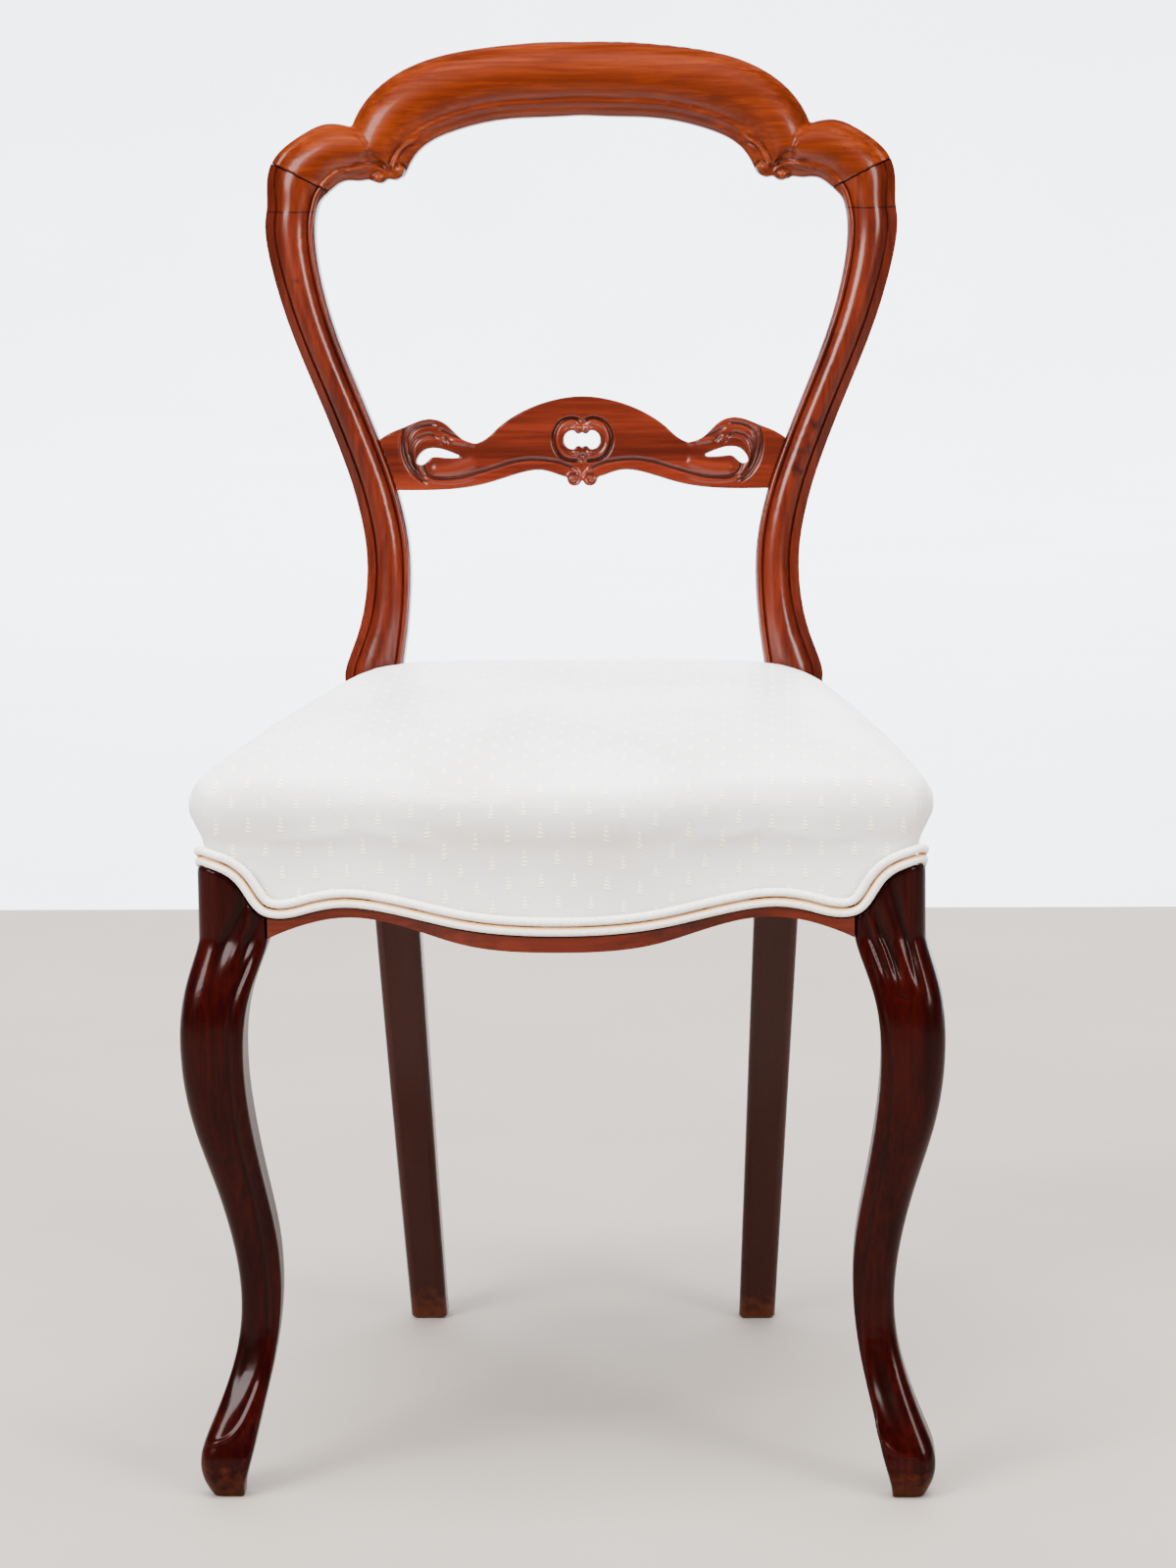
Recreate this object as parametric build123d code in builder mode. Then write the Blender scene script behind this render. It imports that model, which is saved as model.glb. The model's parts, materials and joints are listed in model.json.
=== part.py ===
from build123d import *
import os
from math import cos, pi, radians, sin, sqrt, tan

# Balloon back dining chair in mahogany with a sprung, stuffed-over seat.
# Millimetres. X runs across the chair, -Y is its front, +Z is up, and the origin
# lies on the floor under the middle of the chair's plan.

# ---------------------------------------------------------------- driving sizes
# seat frame, to its outer wooden faces
FRONT_Y = -207.0            # front face of the front legs' top blocks
FRONT_HALF = 223.7          # half the width at the front legs
REAR_HALF = 161.5           # half the width at the rear legs
SEAT_DEPTH = 361.0          # front leg face to rear leg face
FRONT_BOW = 26.4            # swell of the serpentine front
SERPENTINE_HALF = 150.0     # half the length of the serpentine
SIDE_BOW = 5.0              # swell of each side rail
RAIL_TOP = 405.0
RAIL_THICK = 25.0
REAR_RAIL_LOW = 355.0       # lower edge of the rear rail
RAIL_PAST = 3.0             # how much thicker the side and rear rails are left inside
RIM_Z = 374.0               # ledge under the piping along the sides and back
REBATE = 5.0                # depth of the rebate that takes the cover
EDGE_RADIUS = 14.0          # outer upright edge of a front leg's top block
LEDGE_Z = 374.0             # underside of the rails' inner rebate, for the webbing
LEDGE_WIDE = 12.0

# legs
FRONT_LEG = 43.7            # top block, square
REAR_LEG_INNER = 120.0      # inner face of the rear leg at the seat
REAR_LEG_DEEP = 28.0
REAR_FOOT_INNER = 101.5
REAR_FOOT = 25.0            # square foot
REAR_FOOT_RAKE = 42.5       # how far the foot stands behind the seat block
FOOT_CHAMFER = 2.0

# back
SEAT_LINE = 455.0           # height where the uprights leave the seat
CREST_TOP = 880.7
RAKE = 6.8                  # lean of the back in degrees
UPRIGHT_THICK = 25.0
UPRIGHT_WIDE = 34.0         # face width below the shoulder
WAIST_Z = 530.0
WAIST_INNER = 116.3
WAIST_WIDE = 29.4
SHOULDER_OUTER = 212.7
LOBE = 60.7                 # shoulder's outer edge to the notch beside the arch
CREST_RISE = 52.7           # notch to the top of the crest
CREST_DEEP = 49.3           # crest rail, top to underside, at the middle
CREST_HOLLOW = 8.0          # hollow of the crest in plan
EAR_OUTER_R = 47.5
EAR_INNER_R = 28.5
BEVEL = 6.0                 # flat strip along the uprights' outer edge
BEAD = 3.4
VOLUTE_R = 6.5

# middle rail
MID_LOW = 583.0
MID_DEEP = 62.6             # lower edge to the top of the arch, at the middle
MID_THICK = 15.0
MID_DEPTH = 3.0             # its back face in front of the uprights' back face
RELIEF = 1.4                # height of the carving above its face

# upholstery
COVER_THICK = 2.0
GAP = 0.3                   # soft pieces stay this far from their neighbours
COVER_INSET = 2.7           # cover's outer face behind the wooden face
CROWN_Z = 478.0
SWELL = 10.0                # how far the pad swells past the cover's edge
PIPING = 6.0                # diameter of one piping cord
WEB_THICK = 1.5
WEB_WIDE = 50.0
HESSIAN = 1.2
SPRING_TOP = 431.0          # underside of the hessian over the springs
SPRING_R = 30.0
SPRING_WIRE = 3.6
SPRING_TURNS = 4.5

# fastenings
DOWEL = 10.0
DOWEL_LONG = 44.0
SMALL_DOWEL = 7.0
SMALL_DOWEL_LONG = 30.0
DOWEL_PLAY = 0.1
SCREW_SHANK = 4.0
SCREW_HEAD = 8.0
BLOCK_TALL = 26.0

os.makedirs("parts", exist_ok=True)

# --------------------------------------------------------------- derived sizes
REAR_Y = FRONT_Y + SEAT_DEPTH           # front face of the rear legs
REAR_BACK_Y = REAR_Y + REAR_LEG_DEEP
LEG_BACK_Y = FRONT_Y + FRONT_LEG
LEG_INNER = FRONT_HALF - FRONT_LEG
RAIL_BACK_Y = FRONT_Y + RAIL_THICK      # inner face of the front rail
REAR_RAIL_Y = REAR_BACK_Y - RAIL_THICK  # inner face of the rear rail
REAR_LEG_WIDE = REAR_HALF - REAR_LEG_INNER
SIDE_SLOPE = (FRONT_HALF - REAR_HALF) / SEAT_DEPTH
NOTCH_HALF = SHOULDER_OUTER - LOBE
NOTCH_Z = CREST_TOP - CREST_RISE
EAR_OUTER_C = (SHOULDER_OUTER - EAR_OUTER_R, NOTCH_Z - EAR_OUTER_R - 0.5)
EAR_INNER_C = (EAR_OUTER_C[0] - 15.0, EAR_OUTER_C[1] - 18.0)
SHOULDER_Z = EAR_OUTER_C[1] - 9.0       # joint between upright and shoulder block
UPPER_JOINT = 0.35                      # share of the ear's turn at its upper joint
UPRIGHT_FRONT_Y = REAR_Y + 2.0
REF_DEPTH = 10.0
LOW_Z = 330.0


def save(builder, name):
    builder.part.label = name
    export_step(builder.part, f"parts/{name}.step")


def save_pair(builder, name):
    """Write a right-hand piece and its left-hand twin."""
    save(builder, f"{name}_right")
    with BuildPart() as twin:
        mirror(builder.part, about=Plane.YZ)
    save(twin, f"{name}_left")
    return twin


# ------------------------------------------------------------------- seat plan
def side_x(y, inset=0.0):
    """Straight line of the side rail's outer face at depth y."""
    return FRONT_HALF - inset - (y - FRONT_Y) * SIDE_SLOPE


def serpentine(x, front, bow, reach):
    """Depth of the serpentine front at a distance x from the middle."""
    radius = (reach * reach + bow * bow) / (4 * bow)
    away = abs(x)
    if away >= reach:
        return front
    if away <= reach / 2:
        return front - bow + radius - sqrt(radius * radius - away * away)
    return front - radius + sqrt(radius * radius - (reach - away) ** 2)


def seat_plan(z, inset=0.0):
    """Plan of the seat at height z, drawn in from the wooden faces by inset."""
    front = FRONT_Y + (inset if inset > 0 else inset * 0.5)
    rear = REAR_BACK_Y - inset * 0.9
    mid = (front + rear) / 2
    half_front = side_x(front, inset)
    half_rear = side_x(rear, inset)
    half_mid = side_x(mid, inset) + SIDE_BOW
    corner = EDGE_RADIUS - inset if inset < 6.0 else EDGE_RADIUS + 0.3 * inset
    reach = min(SERPENTINE_HALF, half_front - 1.25 * corner - 4.0, 0.96 * half_rear)
    bow = FRONT_BOW * (1.0 - inset / 160.0)

    def edge(x):
        return (x, serpentine(x, front, bow, reach))

    with BuildSketch(Plane.XY.offset(z)) as plan:
        with BuildLine():
            Line((reach, front), (half_front, front))
            ThreePointArc((half_front, front), (half_mid, mid), (half_rear, rear))
            Line((half_rear, rear), (-half_rear, rear))
            ThreePointArc((-half_rear, rear), (-half_mid, mid), (-half_front, front))
            Line((-half_front, front), (-reach, front))
            ThreePointArc(edge(-reach), edge(-reach * 0.75), edge(-reach / 2))
            ThreePointArc(edge(-reach / 2), edge(0), edge(reach / 2))
            ThreePointArc(edge(reach / 2), edge(reach * 0.75), edge(reach))
        make_face()
        fillet(plan.vertices().sort_by(lambda v: abs(v.X))[-4:], corner)
    return plan.sketch


def inner_x(y, out=0.0):
    """Inner face of the side rail at depth y, or a line out beyond it."""
    return side_x(y, RAIL_THICK + RAIL_PAST - out)


# the rim is the ledge under the piping: (distance from the middle, height) along
# the front, then (distance from the front face, height) along a side
CORNER_RISE = 28.0
FRONT_RIM = [
    (0.0, RIM_Z - 11.0),
    (0.34 * LEG_INNER, RIM_Z - 8.0),
    (0.62 * LEG_INNER, RIM_Z + 0.5),
    (0.79 * LEG_INNER, RIM_Z + 1.5),
    (LEG_INNER - 6.0, RIM_Z - 5.0),
    (LEG_INNER + 5.0, RIM_Z - 2.0),
    (LEG_INNER + 20.0, RIM_Z + 18.5),
    (FRONT_HALF - 10.0, RIM_Z + CORNER_RISE - 1.8),
    (FRONT_HALF, RIM_Z + CORNER_RISE),
]
SIDE_RIM = [
    (0.0, RIM_Z + CORNER_RISE),
    (10.0, RIM_Z + CORNER_RISE - 1.8),
    (FRONT_LEG - 20.0, RIM_Z + 18.5),
    (FRONT_LEG - 5.0, RIM_Z - 2.0),
    (FRONT_LEG + 6.0, RIM_Z - 5.0),
    (FRONT_LEG + 24.0, RIM_Z - 2.0),
    (FRONT_LEG + 44.0, RIM_Z - 0.2),
    (FRONT_LEG + 60.0, RIM_Z),
]
WOOD_LIP = [
    (0.0, RIM_Z - 20.5),
    (0.33 * LEG_INNER, RIM_Z - 17.0),
    (0.62 * LEG_INNER, RIM_Z - 4.8),
    (0.73 * LEG_INNER, RIM_Z - 3.6),
    (0.86 * LEG_INNER, RIM_Z - 7.5),
    (LEG_INNER, RIM_Z - 17.0),
]


def both_sides(points):
    """A right-hand line of points with its mirror image before it."""
    return [(-x, z) for x, z in reversed(points[1:])] + list(points)


SPREAD = 60.0
corner_z = RIM_Z + CORNER_RISE
with BuildLine(mode=Mode.PRIVATE) as front_rim:
    Spline(both_sides(FRONT_RIM))
with BuildLine(mode=Mode.PRIVATE) as side_rim:
    Spline([(FRONT_Y + y, z) for y, z in SIDE_RIM])
front_edge = front_rim.edges()[0]
side_edge = side_rim.edges()[0]

with BuildPart() as front_zone:
    with BuildSketch(Plane.XY.offset(LOW_Z - 5.0)):
        with BuildLine():
            Polyline(
                (-FRONT_HALF - SPREAD, FRONT_Y - SPREAD),
                (FRONT_HALF + SPREAD, FRONT_Y - SPREAD),
                (FRONT_HALF - SPREAD, FRONT_Y + SPREAD),
                (-FRONT_HALF + SPREAD, FRONT_Y + SPREAD),
                close=True,
            )
        make_face()
    extrude(amount=RAIL_TOP + 50.0 - LOW_Z)

with BuildPart() as below_front:
    with BuildSketch(Plane.XZ.offset(-FRONT_Y - SPREAD)):
        with BuildLine():
            add(front_edge)
            Polyline(
                (FRONT_HALF, corner_z),
                (FRONT_HALF + SPREAD, corner_z),
                (FRONT_HALF + SPREAD, LOW_Z),
                (-FRONT_HALF - SPREAD, LOW_Z),
                (-FRONT_HALF - SPREAD, corner_z),
                (-FRONT_HALF, corner_z),
            )
        make_face()
    extrude(amount=2 * SPREAD)
    add(front_zone.part, mode=Mode.INTERSECT)

with BuildPart() as below_side:
    with BuildSketch(Plane.YZ.offset(SPREAD)):
        with BuildLine():
            add(side_edge)
            Polyline(
                (FRONT_Y + SIDE_RIM[-1][0], RIM_Z),
                (REAR_BACK_Y + SPREAD, RIM_Z),
                (REAR_BACK_Y + SPREAD, LOW_Z),
                (FRONT_Y - SPREAD, LOW_Z),
                (FRONT_Y - SPREAD, corner_z),
                (FRONT_Y, corner_z),
            )
        make_face()
    extrude(amount=FRONT_HALF)
    add(front_zone.part, mode=Mode.SUBTRACT)

with BuildPart() as below_rim:
    add(below_front.part)
    add(below_side.part)
    mirror(below_side.part, about=Plane.YZ)
    with Locations((0, REAR_BACK_Y, (LOW_Z + RIM_Z) / 2)):
        Box(2 * REAR_LEG_INNER + SPREAD, 2 * SPREAD, RIM_Z - LOW_Z)

# what the cover takes from the outer faces of legs and rails above the rim
with BuildPart() as rebate_ring:
    with BuildSketch(Plane.XY.offset(LOW_Z + 1.0)):
        Rectangle(2 * FRONT_HALF + SPREAD, 2 * SEAT_DEPTH)
    extrude(amount=RAIL_TOP + 10.0 - LOW_Z)
    extrude(seat_plan(LOW_Z, REBATE), amount=RAIL_TOP + 20.0 - LOW_Z, mode=Mode.SUBTRACT)
    add(below_rim.part, mode=Mode.SUBTRACT)


# -------------------------------------------------------------------- dowelling
def dowel_at(point, direction, diameter, length, both=True):
    """Solid of a dowel whose middle lies on a joint face."""
    start = Vector(*point) - Vector(*direction).normalized() * (length / 2 if both else 0.0)
    plane = Plane(origin=start, z_dir=Vector(*direction))
    with BuildPart(mode=Mode.PRIVATE) as peg:
        with BuildSketch(plane):
            Circle(diameter / 2)
        extrude(amount=length)
    return peg.part


def dowels(spots, diameter, length):
    """Group of dowels, one for each spot of point and direction."""
    with BuildPart() as group:
        for point, direction in spots:
            add(dowel_at(point, direction, diameter, length))
    return group


def dowel_holes(spots, diameter, length):
    """Holes for a group of dowels, a little wider and longer than the pegs."""
    with BuildPart() as group:
        for point, direction in spots:
            add(dowel_at(point, direction, diameter + 2 * DOWEL_PLAY, length + 2.0))
    return group


def flipped(spots):
    """The spots of the right side and their mirror images."""
    twins = [((-p[0], p[1], p[2]), (-d[0], d[1], d[2])) for p, d in spots]
    return spots + twins


DOWEL_LOW = RAIL_TOP - 34.0
DOWEL_HIGH = RAIL_TOP - 14.0
front_spots = flipped(
    [
        ((LEG_INNER, FRONT_Y + 13.5, DOWEL_LOW), (1, 0, 0)),
        ((LEG_INNER, FRONT_Y + 13.5, DOWEL_HIGH), (1, 0, 0)),
    ]
)
front_dowel_x = (inner_x(LEG_BACK_Y) + side_x(LEG_BACK_Y, REBATE)) / 2
rear_dowel_x = (inner_x(REAR_Y) + side_x(REAR_Y, REBATE)) / 2
side_spots = flipped(
    [
        ((front_dowel_x, LEG_BACK_Y, DOWEL_LOW + 10.0), (0, 1, 0)),
        ((front_dowel_x, LEG_BACK_Y, DOWEL_HIGH + 7.0), (0, 1, 0)),
        ((rear_dowel_x, REAR_Y, DOWEL_LOW + 10.0), (0, 1, 0)),
        ((rear_dowel_x, REAR_Y, DOWEL_HIGH + 7.0), (0, 1, 0)),
    ]
)
back_spots = flipped(
    [
        ((REAR_LEG_INNER, REAR_RAIL_Y + 10.0, DOWEL_LOW - 6.0), (1, 0, 0)),
        ((REAR_LEG_INNER, REAR_RAIL_Y + 10.0, DOWEL_HIGH - 10.0), (1, 0, 0)),
    ]
)
BACK_DOWEL_LONG = 24.0
front_dowels = dowels(front_spots, DOWEL, DOWEL_LONG)
side_dowels = dowels(side_spots, DOWEL, DOWEL_LONG)
back_dowels = dowels(back_spots, DOWEL, BACK_DOWEL_LONG)
front_holes = dowel_holes(front_spots, DOWEL, DOWEL_LONG)
side_holes = dowel_holes(side_spots, DOWEL, DOWEL_LONG)
back_holes = dowel_holes(back_spots, DOWEL, BACK_DOWEL_LONG)
save(front_dowels, "front_rail_dowels")
save(side_dowels, "side_rail_dowels")
save(back_dowels, "rear_rail_dowels")

# ------------------------------------------------------------------ front legs
# (height, how far the outer face stands out past the top block, width)
LEG_STATIONS = [
    (0.0, -1.5, 20.0),
    (10.0, 3.6, 26.0),
    (28.0, 5.3, 32.5),
    (45.0, -0.9, 30.3),
    (65.0, -9.0, 27.0),
    (90.0, -16.4, 25.0),
    (120.0, -19.4, 25.6),
    (160.0, -15.1, 29.0),
    (200.0, -5.4, 32.3),
    (240.0, 5.9, 37.3),
    (285.0, 11.8, 39.8),
    (320.0, 9.6, 41.4),
    (342.0, 3.6, 42.9),
    (356.0, 0.0, FRONT_LEG),
]


def leg_section(z, spread, width):
    """Square leg section with a well rounded outer corner, cut level at height z."""
    outer = FRONT_HALF + spread
    front = FRONT_Y - spread
    with BuildSketch(Plane.XY.offset(z)) as section:
        with Locations((outer - width / 2, front + width / 2)):
            Rectangle(width, width)
        fillet(section.vertices().sort_by(lambda v: v.X - v.Y)[-1], width * 0.32)
        fillet(section.vertices().sort_by(lambda v: v.X - v.Y)[:3], width * 0.09)
    return section.sketch


with BuildPart() as front_leg:
    loft([leg_section(*station) for station in LEG_STATIONS])
    extrude(leg_section(*LEG_STATIONS[-1]), amount=RAIL_TOP - LEG_STATIONS[-1][0])
    add(rebate_ring.part, mode=Mode.SUBTRACT)
    add(front_holes.part, mode=Mode.SUBTRACT)
    add(side_holes.part, mode=Mode.SUBTRACT)
save_pair(front_leg, "front_leg")


# ------------------------------------------------- uprights, shoulders and crest
def back_normal():
    """Forward normal of the leaning back."""
    rake = radians(RAKE)
    return Vector(0, -cos(rake), sin(rake))


def back_point(x, z, depth, hollow=0.0):
    """Point of the leaning back, with its depth measured forward from the back face."""
    rake = radians(RAKE)
    y = UPRIGHT_FRONT_Y + (z - SEAT_LINE) * tan(rake) + (UPRIGHT_THICK - REF_DEPTH) / cos(rake)
    return Vector(x, y + hollow, z) + back_normal() * (depth - REF_DEPTH)


def section_plane(inner, outer, hollow=0.0):
    """Plane across the moulding, from its inner edge towards its outer edge."""
    start = back_point(*inner, 0.0, hollow)
    across = (back_point(*outer, 0.0, hollow) - start).normalized()
    return Plane(origin=start, x_dir=across, z_dir=across.cross(back_normal()))


def moulded_section(inner, outer, bevel, drop, cove, hollow=0.0):
    """Section of the back's moulding between its inner and outer edges.

    bevel is the flat strip on the outer edge, drop is how far the swell falls
    beside it, and cove is the width of the hollow inside the bead.
    """
    width = (back_point(*outer, 0.0) - back_point(*inner, 0.0)).length
    top = UPRIGHT_THICK
    groove = cove + BEAD
    swell_end = width - bevel - 0.8
    with BuildSketch(section_plane(inner, outer, hollow)) as section:
        with BuildLine():
            Line((0, 0), (width, 0))
            Line((width, 0), (width, top - drop - 2.8))
            Line((width, top - drop - 2.8), (width - bevel, top - drop + 1.2))
            Line((width - bevel, top - drop + 1.2), (swell_end, top - drop))
            ThreePointArc(
                (swell_end, top - drop), ((swell_end + groove) / 2, top - 0.2), (groove, top - 6.0)
            )
            ThreePointArc((groove, top - 6.0), (cove + BEAD / 2, top - 4.2), (cove, top - 6.4))
            ThreePointArc((cove, top - 6.4), (cove * 0.4, top - 7.9), (0, top - 10.0))
            Line((0, top - 10.0), (0, 0))
        make_face()
    return section.sketch


def ease(t):
    """Smooth S-curve from 0 to 1."""
    t = min(max(t, 0.0), 1.0)
    return t * t * (3 - 2 * t)


def upright_faces(z):
    """Inner and outer edge of the upright at height z."""
    if z < WAIST_Z:
        flare = min(1.15, ((WAIST_Z - z) / (WAIST_Z - SEAT_LINE - 14.0)) ** 2)
        return WAIST_INNER + 5.3 * flare, WAIST_INNER + WAIST_WIDE + 13.7 * min(flare, 1.0)
    inner_top = SHOULDER_OUTER - UPRIGHT_WIDE
    outer_low = WAIST_INNER + WAIST_WIDE
    rise_in = ease((z - WAIST_Z) / (EAR_INNER_C[1] - 6.0 - WAIST_Z))
    rise_out = ease((z - WAIST_Z) / (EAR_OUTER_C[1] - 12.0 - WAIST_Z))
    inner = WAIST_INNER + (inner_top - WAIST_INNER) * rise_in
    return inner, outer_low + (SHOULDER_OUTER - outer_low) * rise_out


def upright_section(z):
    """Level cut of the upright."""
    inner, outer = upright_faces(z)
    return moulded_section((inner, z), (outer, z), BEVEL, 6.2, 1.4)


def ear_edges(turn):
    """Inner and outer edge of the ear after a share of its turn to the notch."""
    inside = radians(17.0 + 83.0 * turn)
    outside = radians(-12.0 + 110.0 * turn)
    inner = (EAR_INNER_C[0] + EAR_INNER_R * cos(inside), EAR_INNER_C[1] + EAR_INNER_R * sin(inside))
    outer = (EAR_OUTER_C[0] + EAR_OUTER_R * cos(outside), EAR_OUTER_C[1] + EAR_OUTER_R * sin(outside))
    return inner, outer


def ear_section(turn):
    """Section of the ear, whose strip narrows and whose cove widens on the way."""
    share = min(turn, 1.0)
    inner, outer = ear_edges(turn)
    return moulded_section(inner, outer, BEVEL - 4.5 * share, 6.2 + 5.0 * share, 1.4 + 6.0 * share)


FOOT_LEVELS = [SEAT_LINE - 5.0, SEAT_LINE + 17.0, SEAT_LINE + 31.0, SEAT_LINE + 47.0, WAIST_Z]
LEVEL_COUNT = 7
level_step = (SHOULDER_Z - 8.0 - WAIST_Z) / LEVEL_COUNT
UPRIGHT_LEVELS = FOOT_LEVELS + [WAIST_Z + level_step * (i + 1) for i in range(LEVEL_COUNT)]
EAR_TURNS = [0.0, 0.25, 0.5, 0.75, 1.0, 1.14]

with BuildPart() as bow:
    loft([upright_section(z) for z in UPRIGHT_LEVELS] + [ear_section(turn) for turn in EAR_TURNS])

# crest: stations from the middle to past the notch, as shares of the notch's
# distance and falls from the middle's height: underside, then top
CREST_STATIONS = [
    (0.0, 0.0, 0.0, 0.0),
    (0.27, 1.4, 0.29, 1.2),
    (0.48, 6.0, 0.555, 6.2),
    (0.625, 13.2, 0.76, 15.6),
    (0.712, 21.8, 0.905, 29.8),
    (0.757, 31.5, 0.988, 45.5),
    (0.785, 39.5, 1.03, 62.0),
]


def crest_section(station, side):
    """Section of the crest arch on one side of its middle."""
    low_share, low_fall, top_share, top_fall = station
    inner = (side * low_share * NOTCH_HALF, CREST_TOP - CREST_DEEP - low_fall)
    outer = (side * top_share * NOTCH_HALF, CREST_TOP - top_fall)
    share = min(1.0, (low_share + top_share) / 2)
    return moulded_section(inner, outer, 1.2, 11.5, 7.4, CREST_HOLLOW * (1 - share * share))


joint_inner, joint_outer = ear_edges(UPPER_JOINT)
upper_joint = section_plane(joint_inner, joint_outer)
lower_joint = Plane.XY.offset(SHOULDER_Z)
lower_inner, lower_outer = upright_faces(SHOULDER_Z)
lean = (0, sin(radians(RAKE)), cos(radians(RAKE)))
joint_mid = (
    back_point(*joint_inner, UPRIGHT_THICK * 0.42) + back_point(*joint_outer, UPRIGHT_THICK * 0.42)
) * 0.5
lower_mid = back_point((lower_inner + lower_outer) / 2 - 3.0, SHOULDER_Z, UPRIGHT_THICK * 0.42)
shoulder_spots = flipped([(tuple(lower_mid), lean)])
crest_spots = flipped([(tuple(joint_mid), tuple(upper_joint.z_dir))])
SHOULDER_DOWEL_LONG = 18.0
mid_dowel_z = MID_LOW + 8.0
mid_dowel_point = back_point(upright_faces(mid_dowel_z)[0], mid_dowel_z, MID_DEPTH + MID_THICK / 2)
mid_spots = flipped([(tuple(mid_dowel_point), (1, 0, 0))])
shoulder_dowels = dowels(shoulder_spots, SMALL_DOWEL, SHOULDER_DOWEL_LONG)
crest_dowels = dowels(crest_spots, SMALL_DOWEL, SHOULDER_DOWEL_LONG)
mid_dowels = dowels(mid_spots, SMALL_DOWEL, SMALL_DOWEL_LONG)
shoulder_holes = dowel_holes(shoulder_spots, SMALL_DOWEL, SHOULDER_DOWEL_LONG)
crest_holes = dowel_holes(crest_spots, SMALL_DOWEL, SHOULDER_DOWEL_LONG)
mid_holes = dowel_holes(mid_spots, SMALL_DOWEL, SMALL_DOWEL_LONG)
save(shoulder_dowels, "shoulder_dowels")
save(crest_dowels, "crest_dowels")
save(mid_dowels, "middle_rail_dowels")

with BuildPart() as shoulder:
    add(bow.part)
    split(bisect_by=lower_joint, keep=Keep.TOP)
    split(bisect_by=upper_joint, keep=Keep.TOP)
    add(shoulder_holes.part, mode=Mode.SUBTRACT)
    add(crest_holes.part, mode=Mode.SUBTRACT)
save_pair(shoulder, "shoulder_block")

# sunk web between the arch's end and the shoulder's, seen from the front
WEB_SUNK = 8.6
notch_plane = Plane(origin=back_point(0, NOTCH_Z, 0), x_dir=(1, 0, 0), z_dir=back_normal())
NOTCH_WEB = [
    (NOTCH_HALF - 32.5, -36.0),
    (NOTCH_HALF - 12.5, -39.5),
    (NOTCH_HALF - 6.0, -16.0),
    (NOTCH_HALF - 12.0, -13.0),
    (NOTCH_HALF - 27.0, -25.0),
]

with BuildPart() as crest_rail:
    left = [crest_section(station, -1) for station in reversed(CREST_STATIONS[1:])]
    right = [crest_section(station, 1) for station in CREST_STATIONS]
    loft(left + right)
    with BuildPart(mode=Mode.PRIVATE) as ear:
        add(bow.part)
        split(bisect_by=upper_joint, keep=Keep.BOTTOM)
    add(ear.part)
    mirror(ear.part, about=Plane.YZ)
    with BuildSketch(notch_plane):
        with BuildLine():
            Polyline(*NOTCH_WEB, close=True)
        make_face()
        mirror(about=Plane.YZ)
    extrude(amount=UPRIGHT_THICK - WEB_SUNK)
    scroll_z = EAR_INNER_C[1] + EAR_INNER_R + 3.0
    for side in (-1, 1):
        for x, z, radius in (
            (NOTCH_HALF - 27.0, scroll_z + 3.0, VOLUTE_R),
            (NOTCH_HALF - 17.0, scroll_z, VOLUTE_R - 0.8),
        ):
            add(dowel_at(back_point(side * x, z, 9.0), back_normal(), 2 * radius, UPRIGHT_THICK - 7.0))
    add(crest_holes.part, mode=Mode.SUBTRACT)
save(crest_rail, "crest_rail")


# ------------------------------------------------------------------- rear legs
def rear_section(z, inner, width, front, depth, radius):
    """Rounded rectangular section of a rear leg at height z."""
    with BuildSketch(Plane.XY.offset(z)) as section:
        with Locations((inner + width / 2, front + depth / 2)):
            RectangleRounded(width, depth, radius)
    return section.sketch


BLOCK_Z = RIM_Z - 26.0                  # where the rear leg widens to its seat block
NECK_Z = BLOCK_Z - 26.0
neck = (NECK_Z, REAR_LEG_INNER - 5.0, REAR_FOOT + 6.0, REAR_Y + 3.5, REAR_LEG_DEEP, 5.0)
block = (BLOCK_Z, REAR_LEG_INNER, REAR_LEG_WIDE, REAR_Y, REAR_LEG_DEEP, 3.0)
with BuildPart() as rear_leg:
    loft(
        [
            rear_section(0.0, REAR_FOOT_INNER, REAR_FOOT, REAR_Y + REAR_FOOT_RAKE, REAR_FOOT, 5.0),
            rear_section(
                NECK_Z / 2,
                (REAR_FOOT_INNER + REAR_LEG_INNER - 5.0) / 2,
                REAR_FOOT + 3.0,
                REAR_Y + REAR_FOOT_RAKE * 0.42,
                REAR_FOOT + 2.0,
                5.0,
            ),
            rear_section(*neck),
        ]
    )
    loft([rear_section(*neck), rear_section(*block)])
    extrude(rear_section(*block), amount=SEAT_LINE - 2.0 - BLOCK_Z)
    chamfer(rear_leg.faces().sort_by(Axis.Z)[0].edges(), FOOT_CHAMFER)
    with BuildPart(mode=Mode.PRIVATE) as upright:
        add(bow.part)
        split(bisect_by=lower_joint, keep=Keep.BOTTOM)
    add(upright.part)
    for holes in (side_holes, back_holes, shoulder_holes, mid_holes):
        add(holes.part, mode=Mode.SUBTRACT)
rear_leg_left = save_pair(rear_leg, "rear_leg")

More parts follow.
